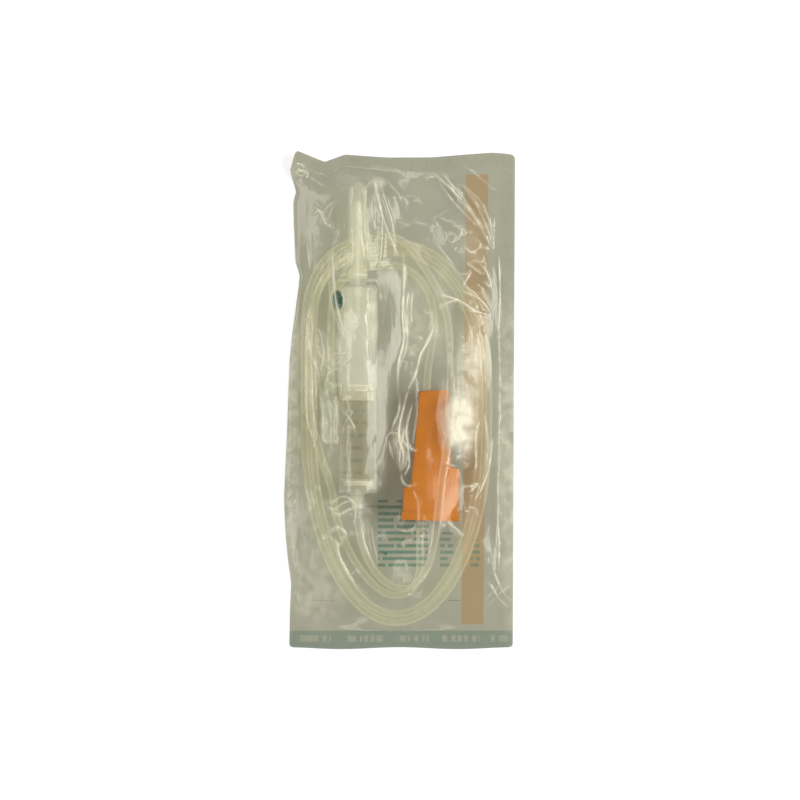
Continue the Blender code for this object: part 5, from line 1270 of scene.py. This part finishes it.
def coil_corner(corner, side_inset, end_inset, shares, height):
    """Places round one corner of the coil: from its end to its side for shares 1 to 0, or back."""
    side, end, start, squareness = COIL_CORNERS[corner]
    places = []
    for share, (side_in, end_in) in zip(shares, zip(side_inset, end_inset)):
        turn = math.pi / 2 * share
        half = abs((COIL_RIGHT - side_in if side > 0 else COIL_LEFT + side_in) - COIL_MIDDLE)
        reach = abs((COIL_TOP - end_in if end > 0 else COIL_BOTTOM + end_in) - start)
        across = half * max(math.cos(turn), 0.0) ** (2 / squareness)
        along = reach * max(math.sin(turn), 0.0) ** (2 / squareness)
        places.append((COIL_MIDDLE + side * across, start + end * along, height(side_in)))
    return places


def coil_line(radius, pitch):
    """The coiled tube's places: two turns and a half, then a third strand laid over the first two."""
    low = LAY_Z + radius
    first, second, third = radius, radius + pitch, radius + 2 * pitch
    groove = radius + pitch / 2

    def flat(_):
        return low

    def on_top(inset):
        apart = 1.02 * 2 * radius
        away = min(abs(inset - second), apart)
        return low + math.sqrt(max(apart**2 - away**2, 0.0))

    def corner(name, start, end, shares, height=flat):
        insets = [start + (end - start) * k / (len(shares) - 1) for k in range(len(shares))]
        return coil_corner(name, insets, insets, shares, height)

    down = [k / 8 for k in range(8, -1, -1)]
    up = [k / 8 for k in range(9)]
    places = []
    for start, end in ((first, second), (second, third)):
        places += corner("top left", start, start, down[1:])
        places += corner("bottom left", start, start, up)
        places += corner("bottom right", start, start, down[1:])
        places += corner("top right", start, end, up)
    places[0] = (*places[0][:2], low + 0.0009)
    places += corner("top left", third, groove, down[1:], on_top)
    for y, further in ((0.015, 0.0), (-0.003, 0.0), (-0.013, 0.0014), (-0.0215, 0.0042)):
        places.append((COIL_LEFT + groove + further, y, on_top(groove + further)))
    return places


class INFUSION_OT_tube(bpy.types.Operator):
    """Lays the clear tube from the chamber round the coil, through the clamp and to the connector"""

    bl_idname = "infusion.tube"
    bl_label = "Tube"

    def execute(self, context):
        settings = context.scene.infusion_tube
        radius, bore = settings.diameter / 2, settings.bore / 2
        finish = clear_plastic("soft PVC tube", settings.wall, linear("#fffffc"), 0.035, 0.46, 0.20, 0.05)
        held = tube_in_clamp_line(radius)
        x, z = CHAMBER_AXIS
        leaves = [(x, NOZZLE_END_Y + SOCKET_DEPTH - SEAT_GAP, z), (x, NOZZLE_END_Y, z)]
        places = leaves + RUN_FROM_CHAMBER + RUN_OVER_TOP + coil_line(radius, settings.pitch)
        places += RUN_OFF_COIL + RUN_TO_CLAMP
        along = np.array([(CLAMP_FRAME.inverted() @ Vector(place)).y for place in held])
        low = held[along < PINCH_START]
        pinched = held[(along >= PINCH_START - 0.001) & (along <= PINCH_END + 0.0011)]
        line = np.concatenate([smooth_line(places + [tuple(low[0])], TUBE_STEP)[:-1], low[::2]])
        made = finish_mesh(
            "tube_to_clamp_coiled", tube_mesh("tube_coiled", line, radius, bore), finish, "pack"
        )
        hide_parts("tube_coil", "tube_from_chamber", "tube_to_clamp")

        # In the clamp's upper end the tube lies along the clamp's floor, in short parts.
        edges = range(0, len(pinched), 2)
        for number, start in enumerate(edges[:-1]):
            part = pinched[start : start + 3]
            mesh = tube_mesh("tube_part", part, radius, bore)
            made = finish_mesh(f"tube_under_roller_{number + 1}", mesh, finish, "pack")
            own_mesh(made)
            if number == 0:
                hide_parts("tube_in_clamp")

        after = pinched[edges[-1]]
        x, z = LUER_AXIS
        ends = [(x, LUER_Y + 0.0005, z), (x, LUER_Y - SOCKET_DEPTH + SEAT_GAP, z)]
        line = smooth_line([tuple(after)] + RUN_TO_CONNECTOR + ends, TUBE_STEP)
        made = finish_mesh(
            "tube_to_luer", tube_mesh("tube_free", line, radius, bore), finish, "pack"
        )
        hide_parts("tube_to_connector")
        return operator_result(context)


def ridge_heights(x, y, creases):
    """How far creases lift the film, and the painted highlight lines along their crests.

    Each has a sharp crest and flat flanks.
    """
    lift, lines = np.zeros_like(x), np.zeros_like(x)
    for height, left, right, places in creases:
        points = smooth_line([(*place, 0.0) for place in places], CREASE_STEP)[:, :2] / 1000
        reach = max(left, right) / 1000 + 0.0005
        low, high = points.min(axis=0) - reach, points.max(axis=0) + reach
        near = (x > low[0]) & (x < high[0]) & (y > low[1]) & (y < high[1])
        px, py = x[near], y[near]
        best, closest = np.full(px.shape, 1.0), np.full(px.shape, 1.0)
        share = np.zeros_like(px)
        steps = len(points) - 1
        for k, (a, b) in enumerate(zip(points, points[1:])):
            dx, dy = b - a
            t = np.clip(((px - a[0]) * dx + (py - a[1]) * dy) / (dx * dx + dy * dy), 0, 1)
            away = np.hypot(px - a[0] - t * dx, py - a[1] - t * dy)
            turned_left = dx * (py - a[1]) - dy * (px - a[0]) > 0
            closest = np.minimum(closest, away)
            away = away / np.where(turned_left, right, left) * 1000
            nearer = away < best
            best = np.where(nearer, away, best)
            share = np.where(nearer, (k + t) / steps, share)
        crest = np.maximum(1 - best, 0)
        crest = crest * (0.35 + 0.65 * crest)
        fade = np.clip(np.minimum(share, 1 - share) * 3.5, 0.0, 1)
        lift[near] = np.maximum(lift[near], height / 1000 * crest * fade)
        shown = np.exp(-((closest / LINE_WIDTH) ** 2)) * np.sqrt(fade) * height
        lines[near] = np.maximum(lines[near], shown)
    return lift, lines


def spots(x, y, places, sharpness=1):
    """How strongly each place is marked by soft oval spots, given in millimetres."""
    strength = np.zeros_like(x)
    for middle_x, middle_y, spread_x, spread_y, weight in places:
        away = ((x * 1000 - middle_x) / spread_x) ** 2 + ((y * 1000 - middle_y) / spread_y) ** 2
        strength = np.maximum(strength, weight * np.exp(-(away**sharpness)))
    return strength


def facets(x, y, spacing, stretch, random):
    """The relief of crumpled film, from -1 to 1: random triangles, longer along the pouch."""
    steps = (spacing, spacing * stretch)
    columns, rows = (int(size / step) + 4 for size, step in zip((POUCH_WIDTH, POUCH_LENGTH), steps))
    across, along = np.meshgrid(np.arange(columns), np.arange(rows))
    corner_x = (across + random.uniform(-0.45, 0.45, across.shape) - 1.5) * steps[0] - POUCH_WIDTH / 2
    corner_y = (along + random.uniform(-0.45, 0.45, across.shape) - 1.5) * steps[1] - POUCH_LENGTH / 2
    corner_x, corner_y = corner_x.ravel(), corner_y.ravel()
    heights = random.uniform(-1, 1, corner_x.shape)
    found = delaunay_2d_cdt([Vector(place) for place in zip(corner_x, corner_y)], [], [], 0, 1e-7)
    corners = np.array([(place.x, place.y) for place in found[0]])
    heights = np.array([heights[origin[0]] for origin in found[3]])
    relief = np.zeros_like(x)
    row_y = y.mean(axis=1)
    for triangle in found[2]:
        (ax, ay), (bx, by), (cx, cy) = corners[list(triangle)]
        first = max(np.searchsorted(row_y, min(ay, by, cy)) - 4, 0)
        last = min(np.searchsorted(row_y, max(ay, by, cy)) + 4, len(row_y))
        low, high = ((end / POUCH_WIDTH + 0.5) * x.shape[1] for end in (min(ax, bx, cx), max(ax, bx, cx)))
        part = (slice(first, last), slice(max(int(low) - 12, 0), max(int(high) + 12, 0)))
        px, py = x[part], y[part]
        area = (bx - ax) * (cy - ay) - (cx - ax) * (by - ay)
        if px.size == 0 or abs(area) < 1e-12:
            continue
        share_b = ((px - ax) * (cy - ay) - (cx - ax) * (py - ay)) / area
        share_c = ((bx - ax) * (py - ay) - (px - ax) * (by - ay)) / area
        share_a = 1 - share_b - share_c
        within = (share_a >= -1e-9) & (share_b >= -1e-9) & (share_c >= -1e-9)
        a, b, c = heights[list(triangle)]
        relief[part] = np.where(within, a * share_a + b * share_b + c * share_c, relief[part])
    return relief


def raise_to(top, mesh, x, y):
    """Raises a height field to a mesh that stands under it, where that is higher."""
    tree = BVHTree.FromPolygons([v.co for v in mesh.vertices], [tuple(p.vertices) for p in mesh.polygons])
    corners = np.array([v.co for v in mesh.vertices])
    low, high = corners.min(axis=0) - 0.001, corners.max(axis=0) + 0.001
    for j, i in np.argwhere((x > low[0]) & (x < high[0]) & (y > low[1]) & (y < high[1])):
        hit = tree.ray_cast(Vector((x[j, i], y[j, i], 0.1)), Vector((0, 0, -1)))[0]
        if hit is not None:
            top[j, i] = max(top[j, i], hit.z)


def covered_heights(x, y):
    """The top of what the film covers, under each place, from the pieces' own meshes."""
    top = np.full(x.shape, WEB_THICKNESS)
    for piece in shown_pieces():
        if not piece.name.startswith("pouch"):
            raise_to(top, piece.data, x, y)
    return top


def solid_heights(name, x, y):
    """The top of the frame's own solid of that name, under each place."""
    top = np.full(x.shape, WEB_THICKNESS)
    raise_to(top, bpy.data.objects[name].data, x, y)
    return top


def neighbours(height):
    """The mean of each place's four neighbours. The rim stays as it is."""
    mean = height.copy()
    mean[1:-1, 1:-1] = (height[:-2, 1:-1] + height[2:, 1:-1] + height[1:-1, :-2] + height[1:-1, 2:]) / 4
    return mean


def membrane(needed, ceiling, pull, rounds):
    """A film stretched over a height field and drawn down by its pull.

    It is over-relaxed, two colours of places in turn.
    """
    height = needed.copy()
    j, i = np.indices(height.shape)
    inside = np.zeros(height.shape, bool)
    inside[1:-1, 1:-1] = True
    colours = [inside & ((i + j) % 2 == k) for k in (0, 1)]
    for step in range(rounds):
        weight = 1.93 if step < rounds * 0.8 else 1.0
        for colour in colours:
            moved = height + weight * (neighbours(height) - pull - height)
            height = np.where(colour, np.clip(moved, needed, ceiling), height)
    return height


def even(height, needed, rounds):
    """Rounds off a height field, but nowhere below what is needed."""
    for _ in range(rounds):
        height = np.maximum(neighbours(height), needed)
    return height


def from_seals(u, v):
    """How far inside the seals places are, for shares across and along."""
    from_sides = np.minimum(u * POUCH_WIDTH - SEAL_LEFT, (1 - u) * POUCH_WIDTH - SEAL_RIGHT)
    from_ends = np.minimum(v * POUCH_LENGTH - SEAL_BOTTOM, (1 - v) * POUCH_LENGTH - SEAL_TOP)
    return np.maximum(np.minimum(from_sides, from_ends), 0)


class INFUSION_OT_pouch(bpy.types.Operator):
    """Makes the printed paper web and the creased clear film over it"""

    bl_idname = "infusion.pouch"
    bl_label = "Pouch"

    def execute(self, context):
        settings = context.scene.infusion_pouch
        inside = printed_paper(
            "coated kraft paper, inner side", settings.paper, settings.ink, settings.band,
            settings.stripe, 0.9,
        )
        outside = printed_paper(
            "coated kraft paper, printed side", settings.printed, linear("#2f6f5a"), linear("#3f7765"),
            linear("#b08a5e"), 1.0,
        )
        x, y, u, v = pouch_grid(62, 133)
        lower = corner_rise(x, y)
        mesh = grid_sheet("paper_web", x, y, lower, WEB_THICKNESS)
        web = finish_mesh("paper_web", mesh, inside, "pack")
        mesh.materials.append(outside)
        for face in mesh.polygons:
            if face.normal.z < -0.5:
                face.material_index = 1
        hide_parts("pouch_back_web")

        coarser = 1
        columns = round(POUCH_WIDTH / settings.cell_across / coarser) + 1
        rows = round(POUCH_LENGTH / settings.cell_along / coarser) + 1
        # What lies under the film is felt on a coarser grid, and the film stretched over it there.
        x, y, u, v = pouch_grid((columns + 1) // 2, rows)
        sealed = WEB_THICKNESS + SEAT_GAP
        top = covered_heights(x, y)
        for axis in (0, 1):
            top = np.maximum(top, np.maximum(np.roll(top, 1, axis), np.roll(top, -1, axis)))
        solid = even(solid_heights("pouch_front_film", x, y), sealed, 10)
        ceiling = np.minimum(
            sealed + STEEPEST_FILM * from_seals(u, v), np.maximum(solid + settings.room, top + SEAT_GAP)
        )
        needed = np.clip(top + SEAT_GAP, sealed, ceiling)
        pull = -settings.puff * (settings.cell_along * coarser) ** 2 / 4
        height = even(membrane(needed, ceiling, pull, SETTLING_ROUNDS), needed, 4)
        across = np.linspace(0, 1, height.shape[1])
        height = np.array([np.interp(np.linspace(0, 1, columns), across, row) for row in height])
        x, y, u, v = pouch_grid(columns, rows)
        inner = from_seals(u, v)
        random = np.random.default_rng(settings.seed)
        slack = 1 - spots(x, y, TAUT_PLACES, 2)
        crumpled = np.maximum(spots(x, y, CRUMPLED_PLACES), LEAST_CRUMPLE) * slack
        fine = [(height, FINE_FLANK, FINE_FLANK, places) for height, places in FINE_CREASES]
        ridges, lines = ridge_heights(x, y, CREASES + fine)
        lift = ridges
        uneven = 0.75
        for spacing, stretch, high in FACETS:
            relief = facets(x, y, spacing, stretch, random)
            lift = lift + (relief + 1) / 2 * high * settings.crumple * crumpled
            uneven = uneven + 0.0011 / spacing * relief
        uneven = np.maximum(uneven, 0.1)
        # How white the film is painted: partly its milkiness where it is crumpled and creased, partly painted
        # highlights in the listed spots and as lines along crease crests.
        milk_and_sheen_spots = spots(x, y, WHITE_AND_SHEEN_PLACES, 2)
        white_and_sheen = CRUMPLE_WHITE * crumpled**2 + ridges / CREASE_FOR_WHITE * slack - CLEAR_BELOW
        white_and_sheen = np.clip(white_and_sheen + (LINE_HIGHLIGHT * lines + milk_and_sheen_spots) * uneven, 0, MOST_WHITE)
        lift = lift * np.clip(inner / 0.004, 0, 1)
        z = np.maximum(height, sealed) + lift + FILM_THICKNESS + corner_rise(x, y)
        mesh = open_sheet("creased_film", x, y, z)
        mesh.attributes.new("white_and_sheen", "FLOAT", "POINT").data.foreach_set("value", white_and_sheen.ravel())
        finish = clear_film("glossy laminate film", linear("#fffdf0"), 0.09, 0.34, 0.034, 0.006, 0.22)
        film = finish_mesh("creased_film", mesh, finish, "pack", smooth_angle=89)
        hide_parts("pouch_front_film")

        # The heat seal's embossing, a millimetre and a half apart, which shows as a fine sparkle.
        x, y, u, v = pouch_grid(82, 177)
        z = np.full_like(x, sealed + FILM_THICKNESS) + corner_rise(x, y)
        dots = open_sheet("seal_faces", x, y, z)
        bm = bmesh.new()
        bm.from_mesh(dots)
        inner = from_seals(u, v).ravel()
        edge = np.minimum(np.minimum(u, 1 - u) * POUCH_WIDTH, np.minimum(v, 1 - v) * POUCH_LENGTH).ravel()
        bm.verts.ensure_lookup_table()
        outside_seal = [bm.verts[k] for k in np.flatnonzero((inner > 0) | (edge < SEAL_MARGIN))]
        bmesh.ops.delete(bm, geom=outside_seal, context="VERTS")
        bm.to_mesh(dots)
        bm.free()
        mesh = shaped("peel_seal_embossing", dots, dots_on_faces(), {"Finish": finish})
        finish_mesh("peel_seal_embossing", mesh, finish, "pack", smooth_angle=1)
        return operator_result(context)


class INFUSION_OT_chamber(bpy.types.Operator):
    """Gives the spike, its cap, the drip chamber and its filters their plastics"""

    bl_idname = "infusion.chamber"
    bl_label = "Drip chamber"

    def execute(self, context):
        settings = context.scene.infusion_chamber
        rigid = clear_plastic("clear moulded ABS", settings.rigid, linear("#fcfcf9"), 0.15, 0.30, 0.36, 0.10)
        cap = clear_plastic("clear polyethylene cap", settings.cap, linear("#fefefb"), 0.07, 0.22, 0.38, 0.15)
        soft = clear_plastic(
            "soft clear PVC chamber", settings.soft, linear("#faf9f5"), 0.05, 0.28, 0.34, 0.10
        )
        white = opaque_plastic("white moulded ring", linear("#d8d8cf"), 0.92, 0.4)
        filter_cloth = opaque_plastic("white filter cloth", linear("#e3e3dc"), 0.88, 0.8, 2500.0, 0.5)
        teal = frosted_closure("dark teal polyethylene, frosted", settings.vent, VENT_SPOT, VENT_REACH)
        moulded_copy("spike_housing", "spike_and_upper_chamber", rigid)
        moulded_copy("chamber_base", "chamber_funnel", rigid)
        moulded_copy("spike_cap", "spike_cover", cap)
        moulded_copy("chamber_sleeve", "soft_lower_chamber", soft)
        moulded_copy("vent_cap", "vent_lid", teal, rounding=0.00025)
        put_material("drop_tube", rigid)
        put_material("filter_ring", white)
        for name in ("vent_filter", "fluid_filter"):
            put_material(name, filter_cloth)
        return operator_result(context)


class INFUSION_OT_clamp(bpy.types.Operator):
    """Gives the roller clamp and its wheel their plastics"""

    bl_idname = "infusion.clamp"
    bl_label = "Roller clamp"

    def execute(self, context):
        settings = context.scene.infusion_clamp
        orange = opaque_plastic("satin orange polystyrene", settings.body, 0.88, 0.38)
        white = opaque_plastic("white acetal wheel", settings.wheel, 0.93, 0.35)
        moulded_copy(
            "clamp_body", "roller_clamp_moulding", orange, rounding=settings.rounding
        )

        rim, dish, hub = ROLLER_RADIUS - WHEEL_TOOTH, ROLLER_RADIUS - WHEEL_RIM, WHEEL_HALF
        stub = hub + TRUNNION_DEPTH
        upper = [
            (0, stub), (TRUNNION_RADIUS - WHEEL_BREAK, stub), (TRUNNION_RADIUS, stub - WHEEL_BREAK),
            (TRUNNION_RADIUS, hub), (WHEEL_HUB - WHEEL_BREAK, hub), (WHEEL_HUB, hub - WHEEL_BREAK),
            (WHEEL_HUB, hub - WHEEL_RECESS), (dish, hub - WHEEL_RECESS), (dish, hub - WHEEL_BREAK),
            (dish + WHEEL_BREAK, hub), (rim - WHEEL_EDGE, hub), (rim, hub - WHEEL_EDGE),
        ]
        base = turned_mesh("wheel", upper + [(r, -z) for r, z in reversed(upper)], 48)
        values = {
            "Count": settings.teeth, "Radius": rim, "Width": 0.0009, "Height": WHEEL_TOOTH,
            "Length": 2 * (hub - WHEEL_EDGE), "Finish": white,
        }
        mesh = shaped("wheel", base, ribs_round_axis(), values)
        mesh.transform(CLAMP_FRAME @ Matrix.Translation((wheel_place(), ROLLER_PLACE, 0)))
        wheel = finish_mesh("toothed_wheel", mesh, white, "roller")
        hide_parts("clamp_roller")
        return operator_result(context)


class INFUSION_OT_connector(bpy.types.Operator):
    """Gives the connector, its lock collar and its vented cap their plastics"""

    bl_idname = "infusion.connector"
    bl_label = "Connector"

    def execute(self, context):
        settings = context.scene.infusion_connector
        clear = clear_plastic(
            "clear polycarbonate connector", settings.clear, linear("#f6f7f3"), 0.20, 0.75, 0.22, 0.05
        )
        frosted = clear_plastic(
            "frosted polyethylene cap", settings.frosted, linear("#f3f4f0"), 0.28, 0.80, 0.38, 0.10
        )
        cloth = opaque_plastic("vent membrane", linear("#e3e3dc"), 0.88, 0.8, 2500.0, 0.5)
        moulded_copy("luer_connector", "male_connector", clear)
        moulded_copy("luer_cap", "vented_connector_cap", frosted)
        put_material("cap_membrane", cloth)

        outer, inner = COLLAR_RADIUS - COLLAR_RIB, COLLAR_RADIUS - COLLAR_RIB - COLLAR_WALL
        base = turned_mesh("collar", [
            (COLLAR_HOLE, 0), (outer - COLLAR_EDGE, 0), (outer, COLLAR_EDGE),
            (outer, COLLAR_LENGTH - COLLAR_EDGE), (outer - COLLAR_EDGE, COLLAR_LENGTH),
            (inner, COLLAR_LENGTH), (inner, COLLAR_FLOOR), (COLLAR_HOLE, COLLAR_FLOOR),
        ], 48)
        values = {
            "Count": settings.ribs, "Radius": outer, "Width": 0.0007, "Height": COLLAR_RIB,
            "Length": COLLAR_LENGTH - 0.0016, "Middle": COLLAR_LENGTH / 2, "Finish": clear,
        }
        mesh = shaped("collar", base, ribs_round_axis(), values)
        x, z = LUER_AXIS
        down = Matrix.Rotation(math.pi / 2, 4, "X")
        mesh.transform(Matrix.Translation((x, LUER_Y - COLLAR_START, z)) @ down)
        collar = finish_mesh("lock_collar", mesh, clear, "pack")
        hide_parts("luer_collar")
        return operator_result(context)


class INFUSION_PT_panel(bpy.types.Panel):
    """Lists the steps and their sizes"""

    bl_label = "Infusion set"
    bl_idname = "INFUSION_PT_panel"
    bl_space_type = "VIEW_3D"
    bl_region_type = "UI"
    bl_category = "Infusion set"

    def draw(self, context):
        for name in GROUPS:
            settings = getattr(context.scene, name)
            box = self.layout.box()
            for key in settings.__annotations__:
                box.prop(settings, key)
        for step in STEPS:
            self.layout.operator(step.bl_idname)


STEPS = [
    INFUSION_OT_stage, INFUSION_OT_chamber, INFUSION_OT_clamp, INFUSION_OT_connector, INFUSION_OT_tube,
    INFUSION_OT_pouch,
]
GROUPS = {
    "infusion_stage": StageSettings, "infusion_chamber": ChamberSettings, "infusion_clamp": ClampSettings,
    "infusion_connector": ConnectorSettings, "infusion_tube": TubeSettings, "infusion_pouch": PouchSettings,
}


def register():
    for group in GROUPS.values():
        bpy.utils.register_class(group)
    for step in [*STEPS, INFUSION_PT_panel]:
        bpy.utils.register_class(step)
    for name, group in GROUPS.items():
        setattr(bpy.types.Scene, name, PointerProperty(type=group))


def unregister():
    for name in GROUPS:
        delattr(bpy.types.Scene, name)
    for step in [INFUSION_PT_panel, *reversed(STEPS)]:
        bpy.utils.unregister_class(step)
    for group in reversed(GROUPS.values()):
        bpy.utils.unregister_class(group)


def main():
    register()
    bpy.ops.infusion.stage()
    bpy.ops.infusion.chamber()
    bpy.ops.infusion.clamp()
    bpy.ops.infusion.connector()
    bpy.ops.infusion.tube()
    bpy.ops.infusion.pouch()


if __name__ == "__main__":
    main()
